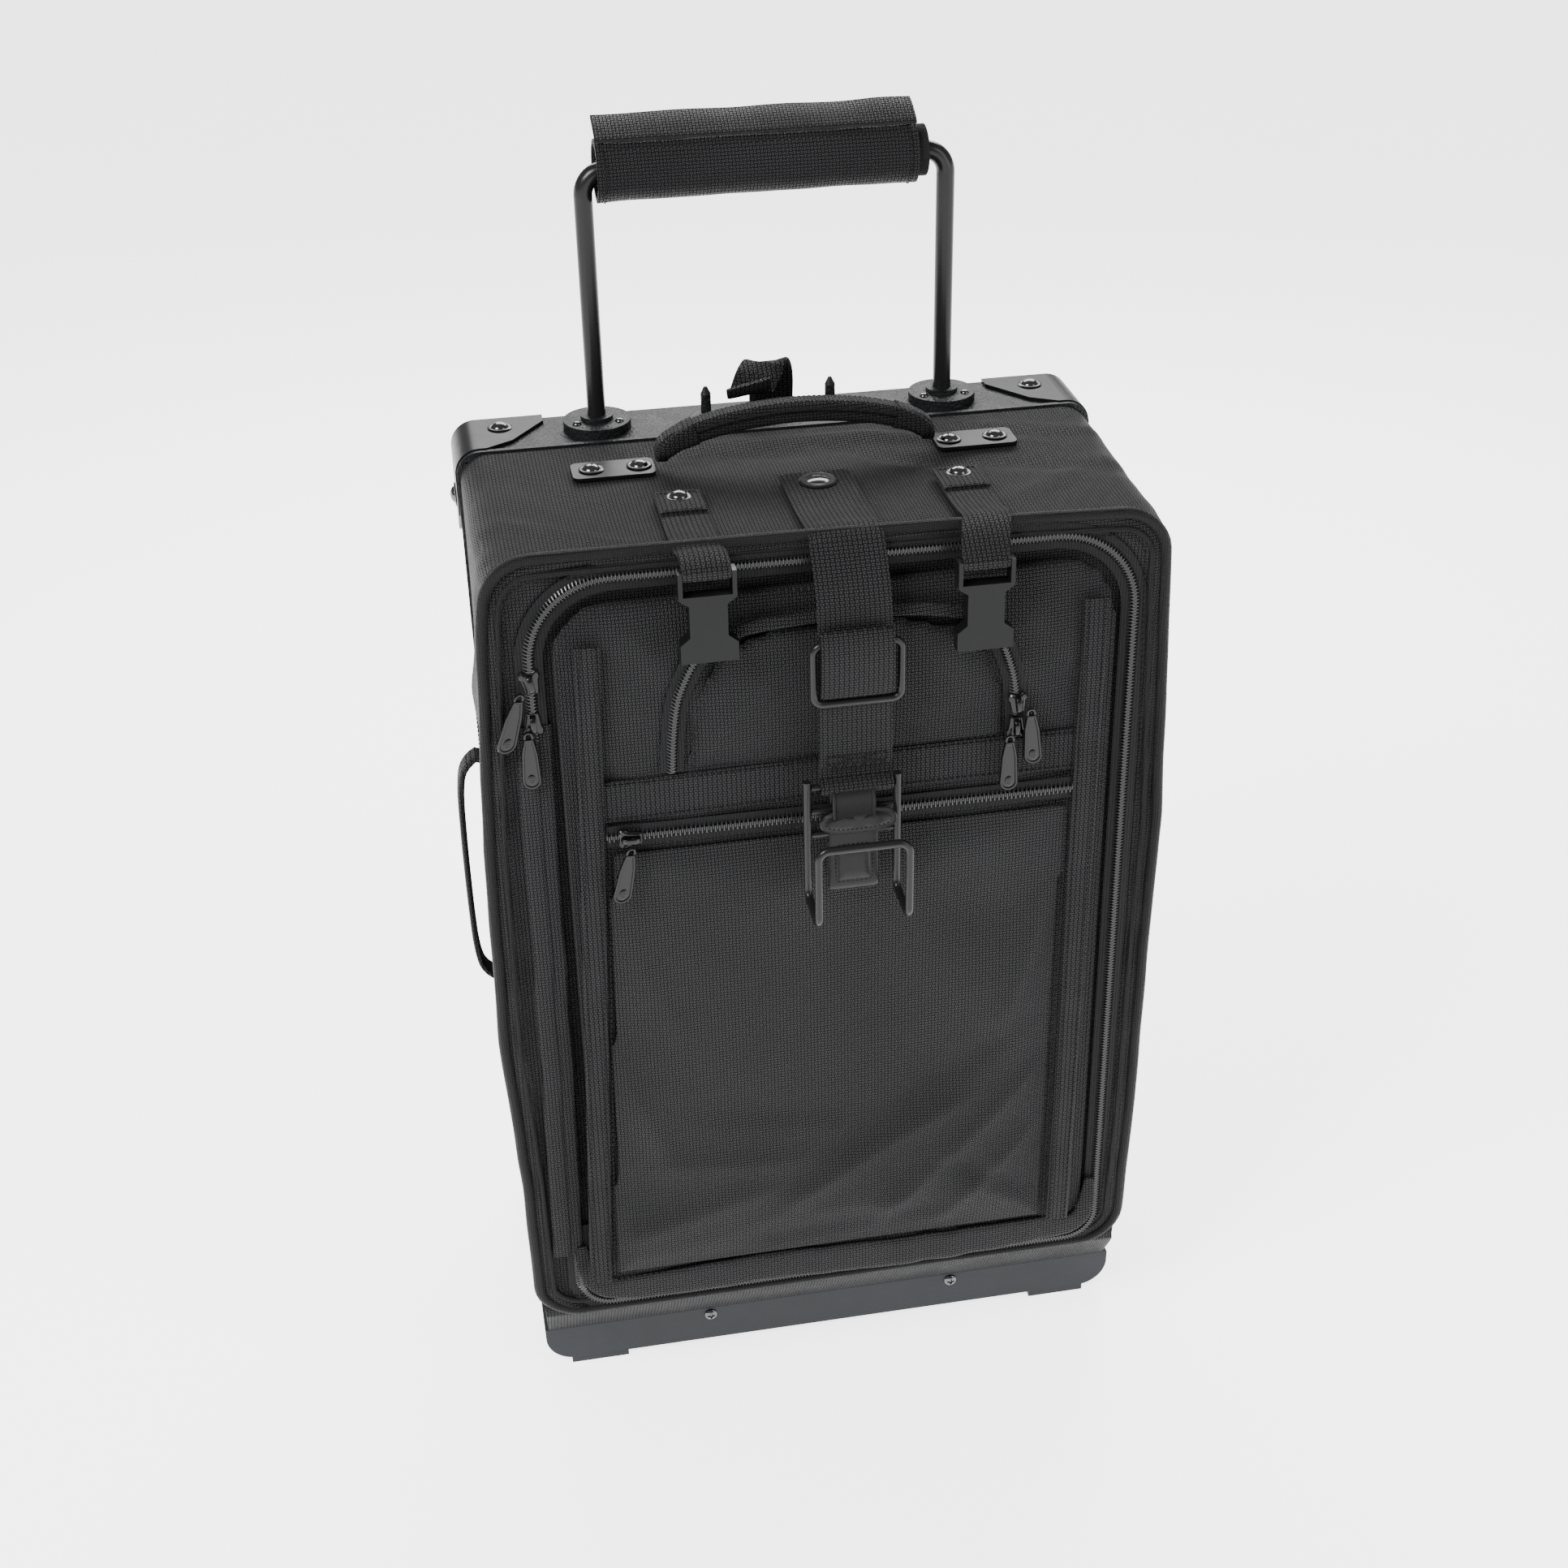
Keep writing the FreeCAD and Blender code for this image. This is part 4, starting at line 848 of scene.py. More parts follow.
POCKET_WRINKLES = (
    ((-20, 148), (62, 196), 7, 2.6), ((30, 128), (112, 212), 7, 2.8), ((62, 118), (118, 176), 6, 2.2),
    ((4, 180), (96, 246), 8, -2.0), ((-112, 132), (-56, 150), 8, 2.0), ((-128, 250), (-104, 190), 7, 2.0),
    ((-70, 214), (-8, 204), 9, -1.8), ((-40, 116), (40, 122), 7, -2.2), ((70, 150), (110, 128), 6, -2.0),
    ((-118, 330), (-96, 280), 8, 1.6), ((-96, 176), (-30, 172), 8, 1.8), ((96, 260), (118, 330), 7, 1.5),
)
SMALL_WRINKLES = (((-70, 445), (-40, 480), 7, 1.5), ((40, 500), (70, 470), 6, 1.4),
                  ((30, 440), (80, 450), 7, -1.2))
PANEL_WRINKLES = (((-140, 470), (-112, 440), 7, 1.8), ((-100, 505), (-80, 480), 7, 1.6),
                  ((96, 520), (120, 480), 7, 1.6), ((100, 470), (122, 440), 6, 1.5),
                  ((-30, 524), (20, 520), 6, 1.4))


def swell(piece, loop, voxel, pressure, cap):
    """Puff a closed form out with a short cloth simulation; its back face stays where it is."""
    remesh = piece.modifiers.new("even", "REMESH")
    remesh.mode = "VOXEL"
    remesh.voxel_size = voxel * MM
    scene = bpy.context.scene
    apply_all(piece)
    mesh = piece.data
    start = np.array([v.co for v in mesh.vertices])
    back = start[:, 1].max() - 0.6 * MM
    pins = piece.vertex_groups.new(name="sewn")
    edge_points = np.array([tuple(at(x, 0, z))[::2] for x, z in loop])
    held = []
    for index, place in enumerate(start):
        near = np.min(np.hypot(*(edge_points - place[[0, 2]]).T))
        if place[1] > back or near < 3.5 * MM:
            held.append(index)
    pins.add(held, 1.0, "REPLACE")
    cloth = piece.modifiers.new("cloth", "CLOTH")
    cloth.settings.vertex_group_mass = "sewn"
    cloth.settings.use_pressure = True
    cloth.settings.uniform_pressure_force = pressure
    cloth.settings.effector_weights.gravity = 0.0
    cloth.settings.quality = 5
    cloth.settings.tension_stiffness = 8
    cloth.settings.compression_stiffness = 8
    for number in range(1, 21):
        scene.frame_set(number)
    depsgraph = bpy.context.evaluated_depsgraph_get()
    moved = piece.evaluated_get(depsgraph).to_mesh()
    final = np.array([v.co for v in moved.vertices])
    piece.modifiers.clear()
    shift = final - start
    length = np.maximum(np.linalg.norm(shift, axis=1), 1e-9)
    shift *= np.minimum(1.0, cap * MM / length)[:, None]
    mesh.vertices.foreach_set("co", (start + shift).astype(np.float32).ravel())
    scene.frame_set(1)


def apply_all(piece):
    """Bake a piece's modifiers into its mesh."""
    depsgraph = bpy.context.evaluated_depsgraph_get()
    mesh = bpy.data.meshes.new_from_object(piece.evaluated_get(depsgraph))
    piece.modifiers.clear()
    piece.data = mesh
    return mesh


def crease(piece, wrinkles, front, size, amount, loop):
    """Push wrinkles and slow waves into a pad's front."""
    edge_points = np.array(loop, float)
    for vertex in piece.data.vertices:
        x = (vertex.co.x - MIDDLE) / MM
        y = (vertex.co.y - ZERO_Y) / MM
        z = vertex.co.z / MM
        if y > front:
            continue
        near = float(np.min(np.hypot(edge_points[:, 0] - x, edge_points[:, 1] - z)))
        free = min(1.0, near / 16.0)
        rise = amount * ripple(x, 1, z, size)
        for start, finish, width, height in wrinkles:
            rise += height * ridge(x, z, start, finish, width)
        vertex.co.y -= rise * free * MM
    piece.data.update()


def pad(name, node, loop, back, face, crown, wrinkles, cap, voxel=4.5):
    """A sewn, padded panel: a flat back, a face that swells between its seams."""
    bits = Bits()
    depth = face - back
    steps = ((0.0, 0.0), (0.0, 0.45), (0.012, 0.8), (0.03, 1.0), (0.3, 1.0), (0.6, 1.0), (0.97, 1.0))
    relief(bits, [(shrink(loop, share), back + depth * rise) for share, rise in steps])
    piece = join(bits, name, None, "ballistic_nylon", (node,))
    swell(piece, loop, voxel, crown, cap)
    crease(piece, wrinkles, back - 0.8, 42.0, 1.0, loop)
    piece.data.materials.clear()
    piece.data.materials.append(LOOKS["ballistic_nylon"])
    piece.data.shade_smooth()
    subdivide = piece.modifiers.new("finer", "SUBSURF")
    subdivide.levels = 1
    subdivide.render_levels = 1
    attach(piece, "case")
    return piece


LARGE = [(-139.2, 96), (-125.4, 394.3), (126.8, 394.3), (124.8, 96)]
SMALL = [(-80, 433), (-76, 471), (-60, 499), (-32, 510), (26, 511), (72, 497), (86, 465), (88, 433)]


def pads():
    """The front panel with its large and small pockets."""
    panel = panel_loop(-5.0)
    pad("padded_front_panel", "front_panel", panel, -86.0, -94.4, 3.0, PANEL_WRINKLES, 4.0, 5.0)
    large = dense(LARGE, 6.0)
    pad("large_pocket_flap", "large_pocket", large, -96.6, -100.6, 4.0, POCKET_WRINKLES, 5.0)
    small = dense(SMALL, 4.0)
    pad("small_pocket_flap", "small_pocket", small, -96.6, -101.2, 4.0, SMALL_WRINKLES, 4.5, 4.0)


def ruffle(share):
    """The foot hem's section: deep in the middle of its run, narrow at its ends."""
    end = (2 * abs(share - 0.5)) ** 4
    return [(v, u) for u, v in strap_section(21.0 - 16.0 * end, 4.2 - 3.2 * end, 24)]


def seams_on_panel():
    """Stitching round the pockets and the hem along the panel's foot."""
    large = [(x, -101.2, z) for x, z in inset(dense(LARGE, 6.0), 3.2)]
    small = [(x, -101.6, z) for x, z in inset(dense(SMALL, 4.0), 3.0)]
    panel = [(x, -95.0, z) for x, z in resampled(panel_loop(-9.0), 400)]
    sewn("pocket_stitching", (large, small, panel), "case", "ballistic_nylon", closed=True)
    hem = smooth_line([(-153, -91.6, 118), (-151.5, -93.4, 104), (-146, -95.0, 92), (-134, -95.6, 86.5),
                       (-100, -96.0, 86), (-50, -96.4, 88), (0, -96.4, 87), (60, -96.2, 85.5),
                       (110, -96.0, 87.5), (136, -95.4, 87), (147, -94.6, 92), (151.5, -93.0, 104),
                       (153, -91.4, 118)], 3.0)
    hem = np.array([(x, y + 0.9 * ripple(x, 6, z, 13), z + 1.3 * ripple(x, 1, 9, 24)) for x, y, z in hem])
    build("panel_foot_hem", *loft(sweep(hem, ruffle, (0, 1, 0))),
          "case", "ballistic_nylon")


def flat_band(name, line, width, thickness, nodes, stitch, wave=0.35):
    """A band sewn flat on the panel, and its two rows of stitches."""
    line = smooth_line(line, 4.0)
    line = np.array([(x, y + wave * ripple(x, 4, z, 18), z) for x, y, z in line])
    run = line[-1] - line[0]
    across = np.cross(run, (0, 1, 0))
    across /= np.linalg.norm(across)
    build(name, *loft(sweep(line, strap_section(width, thickness), across)), "case", "webbing", nodes)
    lift = np.array((0, -thickness / 2 - 0.15, 0))
    rows = [line + across * side * (width / 2 - stitch) + lift for side in (-1, 1)]
    sewn(name + "_stitching", rows, "case", "webbing")


def bands():
    """The two bindings beside the pockets and the webbing band between them."""
    flat_band("pocket_binding_left", [(-144.0, -99.8, 97), (-139.8, -101.0, 190), (-135.0, -101.2, 300),
                                      (-130.6, -100.8, 400), (-126.4, -99.0, 508)], 13.0, 2.4,
              ("pocket_bindings",), stitch=2.2, wave=0.8)
    flat_band("pocket_binding_right", [(131.0, -99.8, 97), (131.6, -101.0, 190), (132.4, -101.2, 300),
                                       (133.2, -100.8, 420), (135.0, -99.0, 508)], 13.5, 2.4, (),
              stitch=2.2, wave=0.8)
    flat_band("pocket_webbing_band", [(-126, -98.6, 418.5), (-60, -98.9, 419.5), (0, -98.9, 421),
                                      (70, -98.9, 421.5), (130, -98.6, 421)], 24.0, 1.8,
              ("webbing_band",), stitch=2.0)


# ---------------------------------------------------------------- zips

def zip_chain(name, line, nodes, width=6.4, pitch=1.9, tape=7.0, closed=False, lift=1.5):
    """Two rows of coil teeth that mesh along the middle of their tape."""
    line = even(line, pitch, closed)
    if closed:
        tangents = np.roll(line, -1, 0) - np.roll(line, 1, 0)
    else:
        tangents = np.gradient(line, axis=0)
    tangents /= np.linalg.norm(tangents, axis=1)[:, None]
    bits = Bits()
    for place, tangent in zip(line, tangents):
        side = np.cross(tangent, (0, 1, 0))
        for way, shift in ((1, 0.0), (-1, pitch / 2)):
            middle = place + tangent * shift
            inner = middle - side * way * 0.9 + np.array((0, -lift * 0.75, 0))
            outer = middle + side * way * width / 2 + np.array((0, 0.35, 0)) + tangent * 0.35
            crown = middle + side * way * width * 0.24 + np.array((0, -lift, 0))
            rings = sweep([inner, crown, outer], circle_section(0.62, 6), tangent)
            bits.add(*loft(rings))
    join(bits, name + "_teeth", "case", "zip_coil", nodes, 50.0)
    coarse = even(line, 4.0, closed)
    turned = sweep(coarse, [(v, u) for u, v in strap_section(width + 2 * tape, 0.9, 12)], (0, 1, 0), closed)
    build(name + "_tape", *loft(turned, closed=closed), "case", "zip_coil", look=TAPE)


def open_ring(loop, low, high):
    """The part of a loop that is left when its left side is opened between two heights."""
    line = resampled(loop, 700)
    side = line[:, 0] < -140
    keep = ~(side & (line[:, 1] > low) & (line[:, 1] < high))
    start = next(i for i in range(len(line)) if keep[i] and not keep[i - 1])
    ordered = [line[(start + k) % len(line)] for k in range(len(line)) if keep[(start + k) % len(line)]]
    return ordered


def zips():
    main = [(x, -88.6, z) for x, z in open_ring(panel_loop(4.6), 132.0, 453.0)]
    zip_chain("main_zip", main, ("main_zip_chain",), tape=4.0)
    pocket = smooth_line([(x, y, 398.5)
                          for x, y in ((-123, -99.6), (-60, -99.9), (0, -99.9), (126, -99.6))])
    zip_chain("large_pocket_zip", pocket, ("pocket_zip_chains",), width=7.4, pitch=2.3, tape=2.6)
    left = smooth_line([(-87.5, -99.4, 433.5), (-86, -99.4, 455), (-82.5, -99.4, 476), (-73, -99.4, 496),
                        (-62, -99.4, 505)])
    right = smooth_line([(94.5, -99.4, 433.5), (93.5, -99.4, 452), (90.5, -99.4, 473), (81, -99.4, 496),
                         (66, -99.4, 507)])
    zip_chain("small_pocket_zip_left", left, (), width=5.6, tape=3.4)
    zip_chain("small_pocket_zip_right", right, (), width=5.6, tape=3.4)
    fold = smooth_line([(-78, -99.2, 498), (-66, -100.4, 505), (-48, -101.2, 511), (-20, -101.6, 514),
                        (20, -101.6, 514.5), (48, -101.2, 512), (70, -100.4, 506), (84, -99.2, 497)])
    build("small_pocket_top_fold", *loft(sweep(fold, strap_section(6.5, 3.0), (0, 0.5, 1))),
          "case", "ballistic_nylon")
    gather = Bits()
    for x, width, depth in ((-161.5, 11.0, 5.5), (-153.5, 8.0, 4.0)):
        crest = smooth_line([(x - 3.5, -88.4, 112), (x - 2.0, -90.0, 150), (x - 0.5, -90.6, 220),
                             (x + 0.6, -90.6, 300), (x + 1.4, -90.2, 380), (x + 2.4, -89.2, 430),
                             (x + 3.0, -87.6, 462)], 4.0)
        crest = np.array([(px + 1.1 * ripple(px, 3, pz, 30), py, pz) for px, py, pz in crest])
        gather.add(*loft(sweep(crest, strap_section(width, depth), (1, 0, 0))))
    join(gather, "lid_gathered_fold", "case", "ballistic_nylon")


def slider(bits, x, y, z, lean, size=1.0):
    """A slider seen from the front: a shouldered body and the arched bridge that holds the pull."""
    turn = math.radians(lean)
    shape = [(-3.4, -5.2), (-3.0, -6.4), (3.0, -6.4), (3.4, -5.2), (4.4, 1.5), (5.4, 3.2), (5.2, 5.4),
             (3.4, 6.6), (1.2, 5.6), (-1.2, 5.6), (-3.4, 6.6), (-5.2, 5.4), (-5.4, 3.2), (-4.4, 1.5)]

    def turned(px, pz):
        return (x + size * (px * math.cos(turn) - pz * math.sin(turn)),
                z + size * (px * math.sin(turn) + pz * math.cos(turn)))

    loop = dense([turned(px, pz) for px, pz in shape], 1.2)
    relief(bits, [(inset(loop, 0.5), y), (loop, y - 0.5), (loop, y - 1.6), (inset(loop, 0.7), y - 2.3),
                  (shrink(loop, 0.5), y - 2.5)])
    arch = []
    for mark, rise in ((-4.6, 1.8), (-4.2, 3.8), (-2.4, 5.0), (1.2, 5.0), (3.6, 4.2), (4.6, 1.8)):
        px, pz = turned(0.0, mark)
        arch.append((px, y - rise, pz))
    across = (math.cos(turn), 0, math.sin(turn))
    bits.add(*loft(sweep(smooth_line(arch, 0.8), strap_section(3.0 * size, 1.3, 12), across)))


def sliders():
    """The five sliders: two on the main zip, one on the large pocket, two on the small one."""
    main = Bits()
    slider(main, -155.0, -88.4, 487.0, 8)
    slider(main, -155.4, -88.4, 464.0, 180)
    join(main, "main_zip_slider_pair", "case", "zip_metal", ("main_zip_sliders",))
    small = Bits()
    slider(small, 94.0, -100.4, 453.5, 5, 0.9)
    slider(small, 93.4, -100.4, 440.0, 180, 0.9)
    join(small, "small_zip_slider_pair", "case", "zip_metal", ("small_pocket_sliders",))
    single = Bits()
    slider(single, -111.0, -101.6, 398.3, 90)
    join(single, "large_pocket_slider", "pocket_slider", "zip_metal", ("pocket_slider",))


PULLS = (
    ("pocket_pull", -112.0, -6.5), ("main_pull_upper", -162.0, -9.0), ("main_pull_lower", -158.6, 0.0),
    ("small_pull_upper", 100.0, 2.0), ("small_pull_lower", 89.0, 0.0),
)


def pull(node, x, lean):
    """A long pull: a raised rim round a sunken face, a rounded foot with an oval, a ring at its top."""
    (_, front, low), (_, back, high) = span(node)
    length = high - low
    outline = []
    for angle in range(180, 361, 12):
        turn = math.radians(angle)
        outline.append((5.0 * math.cos(turn), -length + 5.0 + 5.0 * math.sin(turn)))
    outline += [(4.2, -9.0), (3.2, -3.5), (2.4, 0.0), (-2.4, 0.0), (-3.2, -3.5), (-4.2, -9.0)]

    def hung(loop):
        return np.array([(x + px + lean * -pz / length, high + pz) for px, pz in loop])

    loop = dense(outline, 1.0)
    bits = Bits()
    relief(bits, [(hung(inset(loop, 0.3)), back), (hung(loop), back - 0.4), (hung(loop), front + 0.5),
                  (hung(inset(loop, 0.4)), front), (hung(inset(loop, 1.3)), front),
                  (hung(inset(loop, 1.6)), front + 0.7)])
    oval = [(2.0 * math.cos(k * math.pi / 8), -length + 5.4 + 2.9 * math.sin(k * math.pi / 8))
            for k in range(16)]
    relief(bits, [(hung(oval), front + 0.9), (hung(oval), front + 0.2), (hung(inset(oval, 0.5)), front)])
    for k in range(9):
        angle = 2 * math.pi * k / 8
        reach = 0.0 if k == 8 else 1.0
        px, pz = reach * math.cos(angle), -length + 5.4 + 1.6 * reach * math.sin(angle)
        place = hung([(px, pz)])[0]
        bits.add(*capsule((place[0], front + 0.4, place[1]), (place[0], front - 0.25, place[1]), 0.32))
    ring = [(2.0 * math.cos(k * math.pi / 10), 0.8 + 2.6 * math.sin(k * math.pi / 10)) for k in range(20)]
    middle = (front + back) / 2
    bits.add(*tube([(px, middle, pz) for px, pz in hung(ring)], 0.75, 8, True, (0, 1, 0)))
    join(bits, node + "_body", node, "zip_metal", (node,))


# ---------------------------------------------------------------- straps over the front edge

def strap(name, line, width, bodies, nodes, thickness=WEB, rows=True):
    """A strap that hangs over the front edge; with one body it rides on it, with two it stays on neither."""
    line = smooth_line(line, 2.5)
    rings = sweep(line, strap_section(width, thickness), (1, 0, 0))
    piece = build(name, *loft(rings), None, "webbing", nodes)
    bend(piece, bodies)
    if rows:
        normals = np.cross(np.gradient(line, axis=0), (1, 0, 0))
        normals /= np.linalg.norm(normals, axis=1)[:, None]
        face = line + normals * -(thickness / 2 + 0.05)
        edges = [face + np.array((side * (width / 2 - 2.4), 0, 0)) for side in (-1, 1)]
        stitched = sewn(name + "_selvedge", edges, None, "webbing", length=1.6, gap=1.2, radius=0.28)
        bend(stitched, bodies)
    return piece


def bend(piece, bodies):
    """Ride on one body; with two, only bake the strap's place into its mesh and leave it on no body."""
    if len(bodies) == 1:
        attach(piece, bodies[0])
        return
    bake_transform(piece)


def box_stitch(name, x, z, half_x, half_z, y, body):
    """A sewn box with a cross."""
    corners = [(x - half_x, y, z - half_z), (x - half_x, y, z + half_z), (x + half_x, y, z + half_z),
               (x + half_x, y, z - half_z)]
    bits = Bits()
    stitch_line(bits, corners, 1.7, 0.9, 0.3, closed=True)
    for a, b in ((0, 2), (1, 3)):
        stitch_line(bits, [corners[a], corners[b]], 1.7, 0.9, 0.3)
    join(bits, name, body, "webbing", look=THREAD)


def centre_strap():
    """The wide strap with its adjuster, down to the hook's top pin."""
    middle = STRAP_X
    line = upright(middle, (-8, 551.4), (-30, 551.6), (-55, 551.8), (-76, 553.6), (-84, 554.8),
                   (-89.5, 553.6), (-94.5, 549.5), (-101, 542), (-108, 532), (-112.5, 520),
                   (-113.4, 500), (-113.3, 470), (-113.2, 445), (-113.4, 431), (-115.4, 427.6),
                   (-118.2, 426.4), (-119.4, 424), (-118.4, 421.4), (-115.6, 420.6), (-112.8, 421.6))
    strap("centre_strap", line, 38.2, ("case", "hook_strap"), ("centre_strap_anchor", "hook_strap"))
    lower = upright(middle, (-115.4, 506), (-115.5, 490), (-115.5, 470), (-115.6, 450), (-115.8, 436))
    strap("centre_strap_lower_layer", lower, 37.6, ("hook_strap",), (), 1.8, False)
    box_stitch("centre_strap_bar_tack", middle, 439.5, 16.0, 2.4, -116.9, "hook_strap")
    fold = upright(middle, (-117.7, 513.0), (-119.2, 511.8), (-120.7, 507.5), (-121.5, 498),
                   (-120.9, 487), (-120.0, 480.5), (-118.8, 477.6), (-117.8, 477.0))
    strap("adjuster_fold", fold, 37.4, ("adjuster",), (), 2.0)


BUCKLES = {"left": (-69.0, -67.0, 546.5), "right": (78.5, 73.0, 538.5)}


def buckle_straps():
    """Two short straps with folded, sewn ends, each looped through its buckle."""
    for side, (anchor, hang, height) in BUCKLES.items():
        line = [(anchor, -20, 551.2), (anchor, -40, 551.5), (anchor, -62, 551.8), (anchor, -78, 553.2),
                (anchor, -86, 554.2), (anchor + (hang - anchor) * 0.3, -92.5, 552.6),
                (anchor + (hang - anchor) * 0.7, -100, height + 6.5 if side == "left" else 548.5),
                (hang, -107.6, height + 3.6), (hang, -110.4, height + 1.2), (hang, -110.2, height - 2.0),
                (hang, -107.2, height - 3.4), (hang, -104.2, height - 2.2), (hang, -103.6, height + 0.6)]
        bodies = ("case", "buckle_strap_" + side)
        nodes = ["buckle_strap_" + side]
        if side == "left":
            nodes.append("buckle_strap_anchors")
        strap("buckle_webbing_" + side, line, 24.6, bodies, tuple(nodes))
        fold = [(anchor, -21, 552.9), (anchor, -30, 553.2), (anchor, -40, 553.4), (anchor, -48, 553.2)]
        strap("buckle_webbing_end_" + side, fold, 24.4, ("case",), (), 1.8, False)
        rows = [[(anchor - 10, y, 554.2), (anchor + 10, y, 554.2)] for y in (-46.5, -24.0)]
        sewn("buckle_webbing_tack_" + side, rows, "case", "webbing", **TACK)


def rear_strap():
    """The strap behind the frame, curling over on itself."""
    line = smooth_line([(3, 111.4, 521), (3.5, 111.8, 535), (4, 112.4, 549), (4.5, 113.0, 560),
                        (3.5, 112.4, 567), (0.5, 109.6, 570.4), (-4.0, 104.6, 567.4), (-8.5, 99.0, 561.5),
                        (-11.0, 94.0, 560.0), (-12.0, 90.4, 563.0), (-12.6, 88.6, 567.4)], 1.5)
    rings = []
    for index, ring in enumerate(sweep(line, strap_section(25.0, 2.2), (1, -0.12, 0.02))):
        lean = 0.006 * max(0, index - len(line) * 0.4)
        rings.append([(p[0], p[1], p[2] + lean * (p[0] - line[index][0])) for p in ring])
    build("rear_strap_webbing", *loft(rings), "case", "webbing", ("rear_strap",))


# ---------------------------------------------------------------- handles

def end_wrap(share):
    """The section of the webbing folded round the handle's end: narrow at the plate, then wide."""
    width = float(np.interp(share, (0.0, 0.3, 1.0), (7.0, 18.0, 15.2)))
    return strap_section(width, 6.6 + 6.4 * share, 24)


def carry_handle():
    """The padded top handle: a flattened grip with a raised seam, and its sewn ends."""
    middle, back = CARRY_X, CARRY_Y
    reach = [(-72.4, 556.6), (-71.8, 560.5), (-67.5, 565.6), (-56.0, 570.6), (-38.0, 575.0), (-18.0, 577.6),
             (0.0, 578.4), (18.0, 577.6), (38.0, 575.0), (56.0, 570.6), (67.5, 565.6), (71.8, 560.5),
             (72.4, 556.6)]
    line = smooth_line([(middle + x, back, z - 2.4) for x, z in reach], 2.5)

    def grip(share):
        near_end = min(share, 1 - share)
        width = 13.0 - 6.4 * math.exp(-(near_end / 0.02) ** 2)
        depth = 11.6 - 5.6 * math.exp(-(near_end / 0.04) ** 2)
        return [(u, v) for u, v in strap_section(width, depth, 24)]

    build("carry_handle_grip", *loft(sweep(line, grip, (0, 1, 0))), "carry_handle", "ballistic_nylon",
          ("carry_handle",))
    tabs = Bits()
    for end in (line[:12], line[::-1][:12]):
        tabs.add(*loft(sweep(end, end_wrap, (0, 1, 0))))
    join(tabs, "carry_handle_end_wraps", "carry_handle", "webbing")
    inner = line[11:-11]
    seam = Bits()
    for side in (-1, 1):
        seam.add(*tube(inner + np.array((0, side * 6.2, 1.6)), 1.25, 8))
    join(seam, "carry_handle_seam", "carry_handle", "piping_fabric")
    rows = [inner + np.array((0, side * 4.0, 5.7)) for side in (-1, 1)]
    sewn("carry_handle_stitching", rows, "carry_handle", "ballistic_nylon", length=1.8, gap=1.0, radius=0.3)


def side_handle():
    """The bowed webbing handle on the left side and its folded end tabs."""
    path = [(-180.6, -10, 404), (-184.5, -10, 405.4), (-191.5, -10, 398), (-194.2, -10, 384),
            (-195.0, -10, 360), (-195.2, -10, 333), (-195.0, -10, 306), (-194.2, -10, 283),
            (-191.5, -10, 269), (-184.5, -10, 261.4), (-180.6, -10, 262.6)]
    line = smooth_line(path, 3.0)
    build("side_handle_webbing", *loft(sweep(line, strap_section(14.0, 3.6), (0, 1, 0))),
          "side_handle", "webbing", ("side_handle",))
    tabs = Bits()
    stitches = Bits()
    for low, high in ((404, 433), (233, 262)):
        loop = dense(rounded_tab(-22, 2, low, high, 4.0), 2.0)
        rings = []
        for inwards, x in ((0.6, -177.4), (0.0, -178.4), (0.0, -180.6), (1.2, -181.6)):
            shape = inset(loop, inwards) if inwards else loop
            rings.append([(x, y, z) for y, z in shape])
        tabs.add(*loft(rings))
        stitch_line(stitches, [(-181.6, y, z) for y, z in inset(loop, 2.4)], 1.7, 0.9, 0.3, True)
    join(tabs, "side_handle_end_tabs", "case", "webbing", ("side_handle_tabs",))
    join(stitches, "side_handle_tab_stitching", "case", "webbing", look=THREAD)


def rounded_tab(low_u, high_u, low_v, high_v, radius):
    """A rounded rectangle in any two coordinates."""
    loop = []
    corners = ((high_u, high_v, 0), (low_u, high_v, 90), (low_u, low_v, 180), (high_u, low_v, 270))
    for u, v, start in corners:
        centre_u = u - radius if u == high_u else u + radius
        centre_v = v - radius if v == high_v else v + radius
        for k in range(7):
            angle = math.radians(start + 15 * k)
            loop.append((centre_u + radius * math.cos(angle), centre_v + radius * math.sin(angle)))
    return loop


def grip_wrap():
    """The cloth wrapped round the foam: a soft, slightly faceted sleeve with hemmed ends."""
    (left, _, low), (right, _, high) = span("grip_wrap")
    axis_y, axis_z = RODS_Y, (low + high) / 2
    sides = 56
    rings = []
    for radius_cut in (0, 1):
        marks = range(41) if radius_cut == 0 else range(40, -1, -1)
        for k in marks:
            x = left + (right - left) * k / 40
            ring = []
            for j in range(sides):
                angle = 2 * math.pi * j / sides
                soft = 0.5 * math.cos(3 * angle + 0.4)
                soft += 0.45 * ripple(x, 20 * math.cos(angle), 20 * math.sin(angle), 24)
                hem = 0.5 * math.exp(-((min(k, 40 - k)) / 2.2) ** 2)
                radius = (15.9 + soft + hem) if radius_cut == 0 else 13.7
                ring.append((x, axis_y + radius * math.cos(angle), axis_z + radius * math.sin(angle)))
            rings.append(ring)
    points, faces = loft(rings, caps=False, closed=True)
    build("grip_wrap_cloth", points, faces, "pull_handle", "ballistic_nylon",
          ("grip_wrap",), 50.0)
    bits = Bits()
    for x in (left + 4.0, right - 4.0):
        ring = [(x, axis_y + 16.9 * math.cos(a), axis_z + 16.9 * math.sin(a))
                for a in np.linspace(0, 2 * math.pi, 60)[:-1]]
        stitch_line(bits, ring, closed=True)
    for angle in (math.radians(-62), math.radians(96)):
        y, z = axis_y + 16.7 * math.cos(angle), axis_z + 16.7 * math.sin(angle)
        stitch_line(bits, [(left + 3, y, z), (right - 3, y, z)])
    join(bits, "grip_wrap_stitching", "pull_handle", "ballistic_nylon", look=THREAD)


